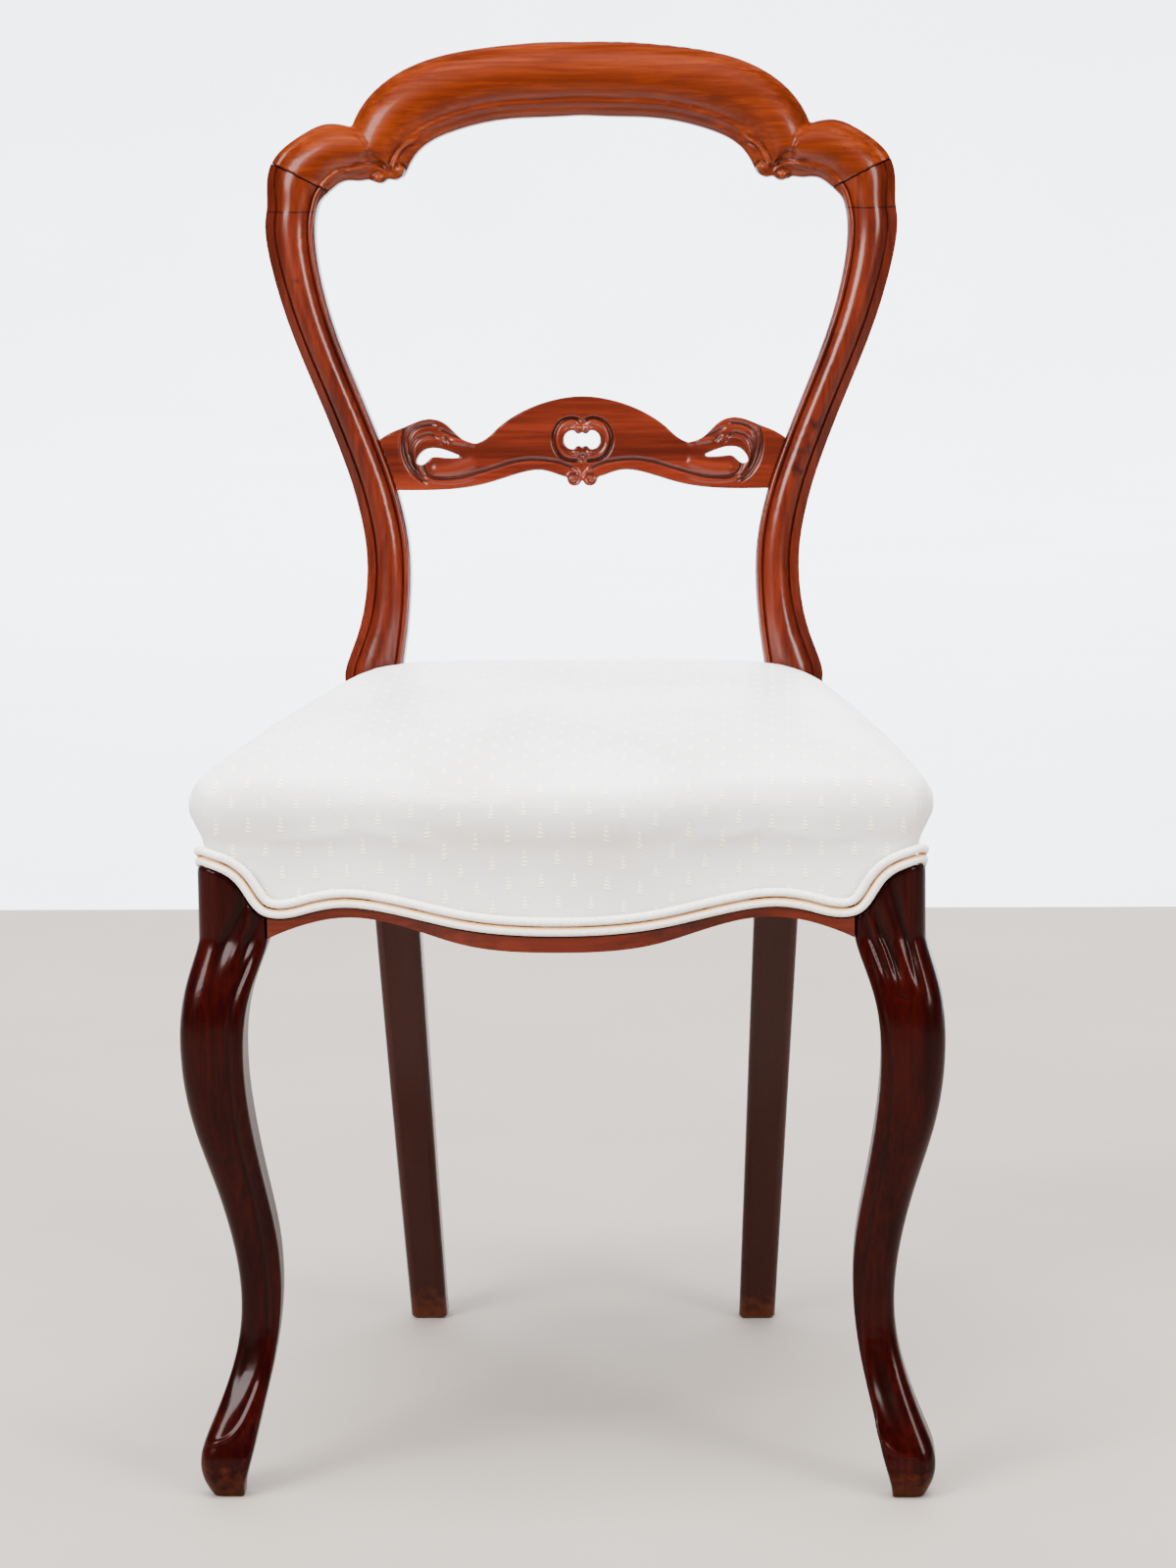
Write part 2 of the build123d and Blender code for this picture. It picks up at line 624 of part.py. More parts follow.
# ----------------------------------------------------------------- middle rail
mid_plane = Plane(origin=back_point(0, MID_LOW, MID_DEPTH), x_dir=(1, 0, 0), z_dir=back_normal())
MID_REACH = WAIST_INNER + 24.0
MID_TOP_LINE = [
    (0.0, MID_DEEP),
    (0.16 * WAIST_INNER, MID_DEEP - 2.3),
    (0.34 * WAIST_INNER, MID_DEEP - 9.7),
    (0.49 * WAIST_INNER, MID_DEEP - 21.2),
    (0.62 * WAIST_INNER, MID_DEEP - 31.6),
]
LEAF_LINE = [
    (0.62 * WAIST_INNER, MID_DEEP - 31.6),
    (0.70 * WAIST_INNER, MID_DEEP - 28.0),
    (0.80 * WAIST_INNER, MID_DEEP - 17.5),
    (0.90 * WAIST_INNER, MID_DEEP - 14.8),
    (1.02 * WAIST_INNER, MID_DEEP - 19.5),
    (MID_REACH, MID_DEEP - 31.0),
]
MID_LOW_LINE = [
    (MID_REACH, 0.0),
    (0.92 * WAIST_INNER, -0.2),
    (0.76 * WAIST_INNER, 0.4),
    (0.56 * WAIST_INNER, 4.0),
    (0.36 * WAIST_INNER, 11.0),
    (0.22 * WAIST_INNER, 12.6),
    (0.12 * WAIST_INNER, 9.0),
    (0.0, 7.0),
]
SLOT_LINE = [
    (0.70 * WAIST_INNER, 22.6),
    (0.79 * WAIST_INNER, 26.6),
    (0.87 * WAIST_INNER, 28.2),
    (0.935 * WAIST_INNER, 25.0),
    (0.955 * WAIST_INNER, 17.5),
    (0.93 * WAIST_INNER, 17.0),
    (0.88 * WAIST_INNER, 21.4),
    (0.79 * WAIST_INNER, 21.6),
]
OPENING = (24.5, 12.6, 33.2)            # width, height and middle of the centre piercing
SCROLLET_R = 2.4


def centre_opening(grow=0.0):
    """Four-lobed centre piercing, grown all round by an amount."""
    with BuildSketch(mid_plane) as opening:
        with Locations((0, OPENING[2])):
            RectangleRounded(OPENING[0] + 2 * grow, OPENING[1] + 2 * grow, OPENING[1] / 2 - 0.4 + grow)
        if grow == 0.0:
            for up in (-1, 1):
                with Locations(
                    (SCROLLET_R, OPENING[2] + up * OPENING[1] / 2),
                    (-SCROLLET_R, OPENING[2] + up * OPENING[1] / 2),
                ):
                    Circle(SCROLLET_R, mode=Mode.SUBTRACT)
    return opening.sketch


with BuildSketch(mid_plane) as leaf_slot:
    with BuildLine():
        Spline(SLOT_LINE, periodic=True)
    make_face()
    mirror(about=Plane.YZ)

with BuildPart() as mid_rail:
    with BuildSketch(mid_plane):
        with BuildLine():
            Spline(MID_TOP_LINE, tangents=[(1, 0), (1, -0.3)])
            Spline(LEAF_LINE, tangents=[(1, 0.2), (1, -0.8)])
            Line(LEAF_LINE[-1], MID_LOW_LINE[0])
            Spline(MID_LOW_LINE, tangents=[(-1, 0), (-1, 0)])
            mirror(about=Plane.YZ)
        make_face()
    extrude(amount=MID_THICK)
    with BuildSketch(mid_plane):
        with Locations((-VOLUTE_R * 0.8, 7.0), (VOLUTE_R * 0.8, 7.0)):
            Circle(VOLUTE_R * 0.75)
    extrude(amount=MID_THICK + RELIEF)
    extrude(centre_opening(2.6), amount=MID_THICK + RELIEF * 0.6)
    extrude(centre_opening(), amount=MID_THICK + RELIEF * 2, mode=Mode.SUBTRACT)
    extrude(leaf_slot.sketch, amount=MID_THICK + RELIEF * 2, mode=Mode.SUBTRACT)
    add(rear_leg.part, mode=Mode.SUBTRACT)
    add(rear_leg_left.part, mode=Mode.SUBTRACT)
    add(mid_holes.part, mode=Mode.SUBTRACT)
save(mid_rail, "middle_rail")

# ------------------------------------------------------------------ seat rails
with BuildPart() as seat_body:
    extrude(seat_plan(LOW_Z), amount=RAIL_TOP - LOW_Z)
    add(rebate_ring.part, mode=Mode.SUBTRACT)

with BuildPart() as front_rail:
    with BuildSketch(Plane.XZ.offset(-RAIL_BACK_Y)):
        with BuildLine():
            Spline(both_sides(WOOD_LIP))
            Polyline(
                WOOD_LIP[-1],
                (LEG_INNER, RAIL_TOP),
                (-LEG_INNER, RAIL_TOP),
                (-WOOD_LIP[-1][0], WOOD_LIP[-1][1]),
            )
        make_face()
    extrude(amount=SPREAD)
    add(seat_body.part, mode=Mode.INTERSECT)
    with Locations((0, RAIL_BACK_Y, LOW_Z)):
        Box(
            2 * LEG_INNER,
            2 * LEDGE_WIDE,
            2 * (LEDGE_Z - LOW_Z),
            mode=Mode.SUBTRACT,
        )
    add(front_holes.part, mode=Mode.SUBTRACT)

with BuildPart() as side_rail:
    with BuildSketch(Plane.YZ.offset(REAR_LEG_INNER)):
        with BuildLine():
            Spline(
                [
                    (LEG_BACK_Y, RIM_Z - 17.0),
                    (LEG_BACK_Y + 22.0, RIM_Z - 13.0),
                    (LEG_BACK_Y + 55.0, RIM_Z - 11.0),
                ],
                tangents=[(1, 0), (1, 0)],
            )
            Polyline(
                (LEG_BACK_Y + 55.0, RIM_Z - 11.0),
                (REAR_Y, RIM_Z - 11.0),
                (REAR_Y, RAIL_TOP),
                (LEG_BACK_Y, RAIL_TOP),
                (LEG_BACK_Y, RIM_Z - 17.0),
            )
        make_face()
    extrude(amount=FRONT_HALF - REAR_LEG_INNER + 10.0)
    add(seat_body.part, mode=Mode.INTERSECT)
    with BuildSketch(Plane.XY.offset(LOW_Z)):
        with BuildLine():
            Polyline(
                (0, LEG_BACK_Y - 1.0),
                (inner_x(LEG_BACK_Y - 1.0), LEG_BACK_Y - 1.0),
                (inner_x(REAR_Y + 1.0), REAR_Y + 1.0),
                (0, REAR_Y + 1.0),
                close=True,
            )
        make_face()
    extrude(amount=RAIL_TOP + 10.0 - LOW_Z, mode=Mode.SUBTRACT)
    with BuildSketch(Plane.XY.offset(LOW_Z)):
        with BuildLine():
            Polyline(
                (0, LEG_BACK_Y - 1.0),
                (inner_x(LEG_BACK_Y - 1.0, LEDGE_WIDE), LEG_BACK_Y - 1.0),
                (inner_x(REAR_Y + 1.0, LEDGE_WIDE), REAR_Y + 1.0),
                (0, REAR_Y + 1.0),
                close=True,
            )
        make_face()
    extrude(amount=LEDGE_Z - LOW_Z, mode=Mode.SUBTRACT)
    add(side_holes.part, mode=Mode.SUBTRACT)

with BuildPart() as rear_rail:
    rear_tall = RAIL_TOP - REAR_RAIL_LOW
    with Locations((0, REAR_RAIL_Y + RAIL_THICK / 2, REAR_RAIL_LOW + rear_tall / 2)):
        Box(2 * REAR_LEG_INNER, RAIL_THICK, rear_tall)
    with Locations((0, REAR_BACK_Y, (RIM_Z + RAIL_TOP) / 2)):
        Box(2 * REAR_LEG_INNER, 2 * REBATE, RAIL_TOP - RIM_Z, mode=Mode.SUBTRACT)
    with Locations((0, REAR_RAIL_Y, (REAR_RAIL_LOW + LEDGE_Z) / 2)):
        Box(2 * REAR_LEG_INNER, 2 * LEDGE_WIDE, LEDGE_Z - REAR_RAIL_LOW, mode=Mode.SUBTRACT)
    add(back_holes.part, mode=Mode.SUBTRACT)

# --------------------------------------------------------------- corner blocks
BLOCK_FACE = 50.0                       # glued length of a block along each rail
BLOCK_LOW = RAIL_TOP - 3.0 - BLOCK_TALL
SCREW_DEEP = 10.0                       # wood left between a screw's head and the rail
SCREW_HOLD = 14.0                       # depth of a screw in the rail


def screw_spots():
    """Points on the rails' inner faces, with the directions into the rails."""
    z = BLOCK_LOW + BLOCK_TALL / 2
    side_dir = (cos(SIDE_SLOPE), sin(SIDE_SLOPE), 0)
    front_y = LEG_BACK_Y + BLOCK_FACE * 0.55
    rear_y = REAR_Y - BLOCK_FACE * 0.6
    return flipped(
        [
            ((LEG_INNER - BLOCK_FACE * 0.5, RAIL_BACK_Y, z - 4.0), (0, -1, 0)),
            ((inner_x(front_y), front_y, z + 4.0), side_dir),
            ((REAR_LEG_INNER - BLOCK_FACE * 0.36, REAR_RAIL_Y, z - 4.0), (0, 1, 0)),
            ((inner_x(rear_y), rear_y, z + 4.0), side_dir),
        ]
    )


def screw_bodies(play, head_length):
    """Shanks and heads of the corner-block screws, grown by a clearance."""
    with BuildPart() as group:
        for point, direction in screw_spots():
            way = Vector(*direction).normalized()
            seat = Vector(*point) - way * SCREW_DEEP
            length = SCREW_DEEP + SCREW_HOLD + play
            add(dowel_at(tuple(seat), direction, SCREW_SHANK + 2 * play, length, both=False))
            away = (-way.X, -way.Y, -way.Z)
            add(dowel_at(tuple(seat), away, SCREW_HEAD + 2 * play, head_length, both=False))
    return group


corner_screws = screw_bodies(0.0, 3.0)
screw_holes = screw_bodies(0.15, BLOCK_FACE)
save(corner_screws, "corner_block_screws")


def corner_block(corners, name):
    """Triangular block notched round a leg, with its left-hand twin."""
    with BuildPart() as block:
        with BuildSketch(Plane.XY.offset(BLOCK_LOW)):
            with BuildLine():
                Polyline(*corners, close=True)
            make_face()
        extrude(amount=BLOCK_TALL)
        add(screw_holes.part, mode=Mode.SUBTRACT)
    save_pair(block, name)


front_end = LEG_BACK_Y + BLOCK_FACE
rear_end = REAR_Y - BLOCK_FACE
corner_block(
    [
        (LEG_INNER - BLOCK_FACE, RAIL_BACK_Y),
        (LEG_INNER, RAIL_BACK_Y),
        (LEG_INNER, LEG_BACK_Y),
        (inner_x(LEG_BACK_Y), LEG_BACK_Y),
        (inner_x(front_end), front_end),
    ],
    "corner_block_front",
)
corner_block(
    [
        (REAR_LEG_INNER - BLOCK_FACE * 0.6, REAR_RAIL_Y),
        (REAR_LEG_INNER, REAR_RAIL_Y),
        (REAR_LEG_INNER, REAR_Y),
        (inner_x(REAR_Y), REAR_Y),
        (inner_x(rear_end), rear_end),
    ],
    "corner_block_rear",
)

# the screws' pilot holes in the rails
for rail, rail_name in ((front_rail, "front_rail"), (rear_rail, "rear_rail")):
    with rail:
        add(screw_holes.part, mode=Mode.SUBTRACT)
    save(rail, rail_name)
with side_rail:
    add(screw_holes.part, mode=Mode.SUBTRACT)
save_pair(side_rail, "side_rail")

# --------------------------------------------------------------------- webbing
CROSS_Y = [-90.0, -10.0, 70.0]
LONG_X = [-70.0, 0.0, 70.0]
WEB_LAP = LEDGE_WIDE - 2.0              # length of a strip's end under the rail
WEB_STEP = 22.0                         # run of a strip from over to under
web_mid = LEDGE_Z - WEB_THICK / 2
web_rise = WEB_THICK + GAP

with BuildPart() as cross_webbing:
    for y in CROSS_Y:
        reach = inner_x(y + WEB_WIDE / 2) + WEB_LAP
        with Locations((0, y, web_mid)):
            Box(2 * reach, WEB_WIDE, WEB_THICK)
save(cross_webbing, "webbing_across")


def weave_profile(x, first_over):
    """Middle line of a lengthwise strip that passes over and under the others."""
    over = first_over
    line = [(RAIL_BACK_Y - WEB_LAP, 0.0), (RAIL_BACK_Y + 6.0, 0.0)]
    for y in CROSS_Y:
        lift = web_rise if over else -web_rise
        line += [(y - WEB_WIDE / 2 - 2.0, lift), (y + WEB_WIDE / 2 + 2.0, lift)]
        over = not over
    return line + [(REAR_RAIL_Y - 6.0, 0.0), (REAR_RAIL_Y + WEB_LAP, 0.0)]


with BuildPart() as long_webbing:
    for x, first_over in zip(LONG_X, (True, False, True)):
        profile = weave_profile(x, first_over)
        upper = [(y, web_mid + lift + WEB_THICK / 2) for y, lift in profile]
        lower = [(y, web_mid + lift - WEB_THICK / 2) for y, lift in reversed(profile)]
        with BuildSketch(Plane.YZ.offset(x - WEB_WIDE / 2)):
            with BuildLine():
                Polyline(*upper, *lower, close=True)
            make_face()
        extrude(amount=WEB_WIDE)
save(long_webbing, "webbing_lengthwise")

# --------------------------------------------------------------------- springs
SPRING_SPOTS = [(-70.0, -90.0), (70.0, -90.0), (0.0, -10.0), (-70.0, 70.0), (70.0, 70.0)]
SPRING_WAIST = 0.62                     # waist radius as a share of the end coils
SPRING_STEPS = 10                       # straight lengths in each turn
spring_low = web_mid + web_rise + WEB_THICK / 2 + GAP
spring_tall = SPRING_TOP - GAP - spring_low


def spring_point(share):
    """Middle of the spring's wire at a share of its length, with its angle."""
    turn = 2 * pi * SPRING_TURNS * share
    radius = SPRING_R * (SPRING_WAIST + (1 - SPRING_WAIST) * (2 * share - 1) ** 2)
    z = spring_low + SPRING_WIRE / 2 + (spring_tall - SPRING_WIRE) * share
    return Vector(radius * cos(turn), radius * sin(turn), z), turn


def spring_section(share):
    """Square section of the spring's wire at a share of its length."""
    point, turn = spring_point(share)
    plane = Plane(origin=point, x_dir=(cos(turn), sin(turn), 0), z_dir=(-sin(turn), cos(turn), 0))
    with BuildSketch(plane) as section:
        Rectangle(SPRING_WIRE * 0.9, SPRING_WIRE * 0.9)
    return section.sketch


with BuildPart() as spring:
    count = round(SPRING_TURNS * SPRING_STEPS)
    loft([spring_section(i / count) for i in range(count + 1)], ruled=True)

# least distance between two turns, from surface to surface of the round wire
wire_line = [spring_point(i / (8 * count))[0] for i in range(8 * count + 1)]
apart = 6 * SPRING_STEPS
turn_gap = min(
    (wire_line[j] - wire_line[i]).length - SPRING_WIRE
    for i in range(len(wire_line))
    for j in range(i + apart, len(wire_line))
)
print(f"least gap between the turns of a spring: {turn_gap:.2f} mm")

with BuildPart() as springs:
    with Locations(*[(x, y, 0) for x, y in SPRING_SPOTS]):
        add(spring.part)
save(springs, "seat_springs")

# ------------------------------------------------------------------ upholstery
SKIRT_TOP = RAIL_TOP - 2.0              # top of the cover's upright skirt
# (height, inset) of the pad's outer face, from the skirt up to the crown
PAD_LINE = [
    (SKIRT_TOP, COVER_INSET),
    (RAIL_TOP + 8.0, COVER_INSET - 0.6),
    (RAIL_TOP + 15.0, -0.2 * SWELL),
    (RAIL_TOP + 23.0, -0.75 * SWELL),
    (RAIL_TOP + 32.0, -SWELL),
    (RAIL_TOP + 42.0, -0.8 * SWELL),
    (CROWN_Z - 23.0, -0.2 * SWELL),
    (CROWN_Z - 15.0, 9.0),
    (CROWN_Z - 8.0, 26.0),
    (CROWN_Z - 3.0, 56.0),
    (CROWN_Z, 110.0),
]


def leg_notch(play):
    """What the pad gives up round the uprights and the rear legs."""
    with BuildPart() as notch:
        with BuildSketch(Plane.XY.offset(LOW_Z)):
            with Locations(
                (REAR_LEG_INNER - play + SPREAD / 2, REAR_Y - play + SPREAD / 2),
                (-REAR_LEG_INNER + play - SPREAD / 2, REAR_Y - play + SPREAD / 2),
            ):
                Rectangle(SPREAD, SPREAD)
        extrude(amount=CROWN_Z + 20.0 - LOW_Z)
    return notch.part


def pad_body(extra, low, play, line=PAD_LINE):
    """Solid of the stuffed seat drawn in by extra, down to the height low."""
    sections = [seat_plan(z - extra * (z > RAIL_TOP + 40.0), inset + extra) for z, inset in line]
    with BuildPart() as pad:
        extrude(seat_plan(low, COVER_INSET + extra), amount=SKIRT_TOP - low)
        loft(sections, ruled=True)
        add(leg_notch(play), mode=Mode.SUBTRACT)
    return pad.part


with BuildPart() as dome:
    add(pad_body(0.0, SKIRT_TOP - 1.0, GAP))
    add(pad_body(COVER_THICK, SKIRT_TOP - 2.0, GAP + COVER_THICK), mode=Mode.SUBTRACT)

with BuildPart() as seat_cover:
    extrude(seat_plan(LOW_Z + 10.0, COVER_INSET), amount=SKIRT_TOP - LOW_Z - 10.5)
    skirt_hollow = seat_plan(LOW_Z + 9.0, COVER_INSET + COVER_THICK)
    extrude(skirt_hollow, amount=SKIRT_TOP - LOW_Z, mode=Mode.SUBTRACT)
    add(leg_notch(GAP), mode=Mode.SUBTRACT)
    with Locations((0, 0, GAP)):
        add(below_rim.part, mode=Mode.SUBTRACT)
    add(dome.part)
    extrude(skirt_hollow, amount=RAIL_TOP + GAP - LOW_Z - 9.0, mode=Mode.SUBTRACT)
save(seat_cover, "seat_cover")

HESSIAN_EDGE = 8.0                      # inset of the hessian's edge on the rails
HESSIAN_LAP = 18.0                      # inset where it leaves the rails
HESSIAN_TOP = 58.0                      # inset of its flat top over the springs


def cut_cloth(z, inset):
    """Straight-sided plan of the cloth tacked over the rails, drawn in by inset."""
    front = FRONT_Y + inset
    rear = REAR_BACK_Y - inset
    reach = 0.9 * SERPENTINE_HALF
    right = [
        (reach / 2, front - FRONT_BOW * 0.5),
        (reach, front),
        (side_x(front, inset) - EDGE_RADIUS, front),
        (side_x(front, inset), front + EDGE_RADIUS),
        (side_x(rear, inset), rear),
    ]
    with BuildSketch(Plane.XY.offset(z)) as plan:
        with BuildLine():
            Polyline(
                (0, front - FRONT_BOW * 0.9),
                *right,
                *[(-x, y) for x, y in reversed(right)],
                close=True,
            )
        make_face()
    return plan.sketch


with BuildPart() as hessian_fill:
    extrude(cut_cloth(RAIL_TOP, HESSIAN_EDGE), amount=HESSIAN)
    loft(
        [cut_cloth(RAIL_TOP + HESSIAN, HESSIAN_LAP), cut_cloth(SPRING_TOP + HESSIAN, HESSIAN_TOP)],
        ruled=True,
    )

with BuildPart() as hessian:
    add(hessian_fill.part)
    add(leg_notch(2 * GAP + COVER_THICK), mode=Mode.SUBTRACT)
    loft(
        [
            cut_cloth(RAIL_TOP - 1.0, HESSIAN_LAP),
            cut_cloth(RAIL_TOP, HESSIAN_LAP),
            cut_cloth(SPRING_TOP, HESSIAN_TOP),
        ],
        ruled=True,
        mode=Mode.SUBTRACT,
    )
save(hessian, "hessian")

# the hair keeps the pad's foot, and is looser than the cloth over the swell
STUFFING_LINE = PAD_LINE[:2] + PAD_LINE[2::2]

with BuildPart() as stuffing:
    add(pad_body(COVER_THICK + GAP, SKIRT_TOP - 1.0, 2 * GAP + COVER_THICK, STUFFING_LINE))
    with Locations((0, 0, GAP)):
        add(hessian_fill.part, mode=Mode.SUBTRACT)
    with BuildSketch(Plane.XY.offset(LOW_Z)):
        Rectangle(3 * FRONT_HALF, 3 * FRONT_HALF)
    extrude(amount=RAIL_TOP + GAP - LOW_Z, mode=Mode.SUBTRACT)
save(stuffing, "seat_stuffing")

# --------------------------------------------------------------------- piping
CORD_R = PIPING / 2
CORD_SIDES = 8
CORD_OUT = CORD_R + GAP - COVER_INSET   # a cord's centre beyond the wooden face
LOWER_LIFT = CORD_R + 2 * GAP           # its centre above the rim
UPPER_LIFT = LOWER_LIFT + PIPING + GAP
END_SLOPE = SIDE_SLOPE - 4 * SIDE_BOW / (REAR_BACK_Y - FRONT_Y)


def side_face(y):
    """Outer face of the side rail at depth y, with its swell."""
    middle = (FRONT_Y + REAR_BACK_Y) / 2
    share = (y - middle) / (REAR_BACK_Y - middle)
    return side_x(y) + SIDE_BOW * (1 - share * share)


def held_off(edge, lift):
    """Points of a rim curve moved up off it by lift, square to its run."""
    points = []
    for i in range(201):
        place = edge @ (i / 200)
        way = edge % (i / 200)
        points.append((place.X - way.Y * lift, place.Y + way.X * lift))
    return points


def level(points, at):
    """Height of a held-off curve at a distance along its face."""
    for (a, low), (b, high) in zip(points, points[1:]):
        if a <= at <= b:
            return low + (high - low) * (at - a) / max(b - a, 1e-9)
    return points[-1][1] if at > points[-1][0] else points[0][1]


def steps(start, end, count):
    """Evenly spaced values from start up to, not including, end."""
    return [start + (end - start) * i / count for i in range(count)]


def cord_line(lift, out):
    """Right-hand half of a cord's route, from the middle of the front to the back."""
    radius = EDGE_RADIUS + out
    turn_x = FRONT_HALF - EDGE_RADIUS * (1.01 + END_SLOPE)
    turn_y = FRONT_Y + EDGE_RADIUS
    front_line = held_off(front_edge, lift)
    side_points = held_off(side_edge, lift)
    points = []
    for x in steps(0.0, 0.84 * LEG_INNER, 12) + steps(0.84 * LEG_INNER, turn_x, 15):
        y = serpentine(x, FRONT_Y - out, FRONT_BOW, SERPENTINE_HALF)
        points.append((x, y, level(front_line, x)))
    for turn in steps(-90.0, -4.0, 7):
        x = turn_x + radius * cos(radians(turn))
        y = turn_y + radius * sin(radians(turn))
        points.append((x, y, level(front_line, x) if turn < -45.0 else level(side_points, y)))
    clear_y = FRONT_Y + SIDE_RIM[-1][0]
    after_y = LEG_BACK_Y + 12.0
    rest = steps(turn_y, after_y, 12) + steps(after_y, clear_y, 5) + steps(clear_y, REAR_Y - GAP, 5)
    for y in rest + [REAR_Y - GAP]:
        points.append((side_face(y) + out, y, level(side_points, y)))
    return points


def cord(lift, out, name):
    """Cord in one length round the front and both sides."""
    half = cord_line(lift, out)
    whole = [(-x, y, z) for x, y, z in reversed(half[1:])] + half
    rounds = []
    for i, point in enumerate(whole):
        before = Vector(*whole[max(i - 1, 0)])
        after = Vector(*whole[min(i + 1, len(whole) - 1)])
        way = after - before
        if i in (0, len(whole) - 1):
            way = Vector(0, way.Y, 0)
        with BuildSketch(Plane(origin=point, x_dir=way.cross(Vector(0, 0, 1)), z_dir=way)) as ring:
            RegularPolygon(CORD_R, CORD_SIDES)
        rounds.append(ring.sketch)
    with BuildPart() as tube:
        loft(rounds, ruled=True)
    save(tube, name)


cord(LOWER_LIFT, CORD_OUT + 0.1, "piping_lower")
cord(UPPER_LIFT, CORD_OUT + 0.6, "piping_upper")

with BuildPart() as back_piping:
    with BuildSketch(Plane.YZ.offset(-REAR_LEG_INNER + GAP)):
        with Locations(
            (REAR_BACK_Y + CORD_OUT, RIM_Z + LOWER_LIFT),
            (REAR_BACK_Y + CORD_OUT, RIM_Z + UPPER_LIFT),
        ):
            Circle(CORD_R)
    extrude(amount=2 * (REAR_LEG_INNER - GAP))
save(back_piping, "piping_back")
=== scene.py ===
"""Balloon back dining chair, dressed over its construction model for a plain studio.

Lengths are in metres, in the construction model's frame: X across the chair, -Y its front,
Z up, and the floor at zero. Sizes that are easier to read in millimetres end in _mm.
"""

import logging
import math
from dataclasses import dataclass, replace
from enum import Enum
from typing import Iterable, Sequence

import bmesh
import bpy
from mathutils import Matrix, Vector, noise
from mathutils.bvhtree import BVHTree
from mathutils.kdtree import KDTree
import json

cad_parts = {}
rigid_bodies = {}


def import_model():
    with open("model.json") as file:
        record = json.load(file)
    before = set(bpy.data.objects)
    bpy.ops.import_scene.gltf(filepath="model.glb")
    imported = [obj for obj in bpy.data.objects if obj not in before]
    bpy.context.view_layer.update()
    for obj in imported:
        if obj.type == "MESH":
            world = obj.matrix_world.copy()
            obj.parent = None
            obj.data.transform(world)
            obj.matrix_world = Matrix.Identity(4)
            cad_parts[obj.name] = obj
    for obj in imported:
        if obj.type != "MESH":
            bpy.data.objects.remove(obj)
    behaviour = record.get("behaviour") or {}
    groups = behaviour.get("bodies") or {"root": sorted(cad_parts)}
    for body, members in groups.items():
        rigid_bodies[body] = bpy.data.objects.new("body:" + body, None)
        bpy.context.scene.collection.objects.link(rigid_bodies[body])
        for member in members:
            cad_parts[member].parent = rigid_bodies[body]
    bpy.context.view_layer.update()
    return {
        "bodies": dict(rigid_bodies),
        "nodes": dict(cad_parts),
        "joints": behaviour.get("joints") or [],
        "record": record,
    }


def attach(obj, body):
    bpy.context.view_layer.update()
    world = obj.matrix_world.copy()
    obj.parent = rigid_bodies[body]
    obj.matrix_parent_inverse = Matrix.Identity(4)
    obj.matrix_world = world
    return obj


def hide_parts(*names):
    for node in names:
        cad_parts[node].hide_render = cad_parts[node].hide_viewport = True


LOG = logging.getLogger("dining_chair")
MM = 0.001
RAIL_TOP = 0.405                    # top of the seat rails
CROWN = 0.478                       # highest point of the seat
LOWER_JOINT = 0.7703                # level joint between an upright and its shoulder block
UPPER_JOINT_WAY = (-0.4463, 0.1057, 0.8886)   # square to the joint under the crest rail
UPPER_JOINT = 0.6417                # how far along that way the joint lies
WINDING_POINTS = 12                 # in a full turn of a spiral

BMesh = bmesh.types.BMesh
Material = bpy.types.Material
Object = bpy.types.Object
Socket = bpy.types.NodeSocket


# ----------------------------------------------------------------- small helpers
def linear(code: str) -> tuple[float, float, float, float]:
    """Turn a colour's hex value into linear light.

    Args:
        code: sRGB colour such as "#A0B0C0".

    Returns:
        Linear red, green, blue and an alpha of one.
    """

    def channel(pair: str) -> float:
        """One channel from its two hex digits."""
        value = int(pair, 16) / 255
        return value / 12.92 if value <= 0.04045 else ((value + 0.055) / 1.055) ** 2.4

    return (channel(code[1:3]), channel(code[3:5]), channel(code[5:7]), 1.0)


def plug(tree: bpy.types.NodeTree, node: bpy.types.Node, inputs: dict) -> None:
    """Set or link a node's inputs.

    Args:
        tree: Node tree that the node is in.
        node: The node.
        inputs: Values or output sockets, by the name or number of the input.
    """
    for name, value in inputs.items():
        if isinstance(value, Socket):
            tree.links.new(value, node.inputs[name])
        else:
            node.inputs[name].default_value = value


def add_node(
    tree: bpy.types.NodeTree,
    kind: str,
    inputs: dict | None = None,
    stops: Sequence[tuple[float, str]] = (),
    **settings: object,
) -> bpy.types.Node:
    """Add a shader node with its settings and links.

    Args:
        tree: Node tree that gets the node.
        kind: Node type without its "ShaderNode" prefix.
        inputs: Values or output sockets, by the name or number of the input.
        stops: Positions and hex colours of a colour ramp.
        **settings: Properties of the node itself.

    Returns:
        The new node.
    """
    node = tree.nodes.new("ShaderNode" + kind)
    for name, value in settings.items():
        setattr(node, name, value)
    plug(tree, node, inputs or {})
    if stops:
        elements = node.color_ramp.elements
        elements[0].position, elements[0].color = stops[0][0], linear(stops[0][1])
        elements[1].position, elements[1].color = stops[-1][0], linear(stops[-1][1])
        for position, code in stops[1:-1]:
            elements.new(position).color = linear(code)
    return node


def dress(material: Material, *objects: Object) -> None:
    """Put one material on every slot of some objects.

    Args:
        material: The finish.
        *objects: New pieces or construction nodes.
    """
    for obj in objects:
        if not obj.material_slots:
            obj.data.materials.append(material)
        for slot in obj.material_slots:
            slot.material = material


def link(obj: Object, node: str) -> None:
    """Hang a finished piece on the chair.

    Args:
        obj: The piece.
        node: Construction node that it stands for.
    """
    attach(obj, "root")
    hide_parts(node)
    LOG.info("%s: %d faces", obj.name, len(obj.data.polygons))


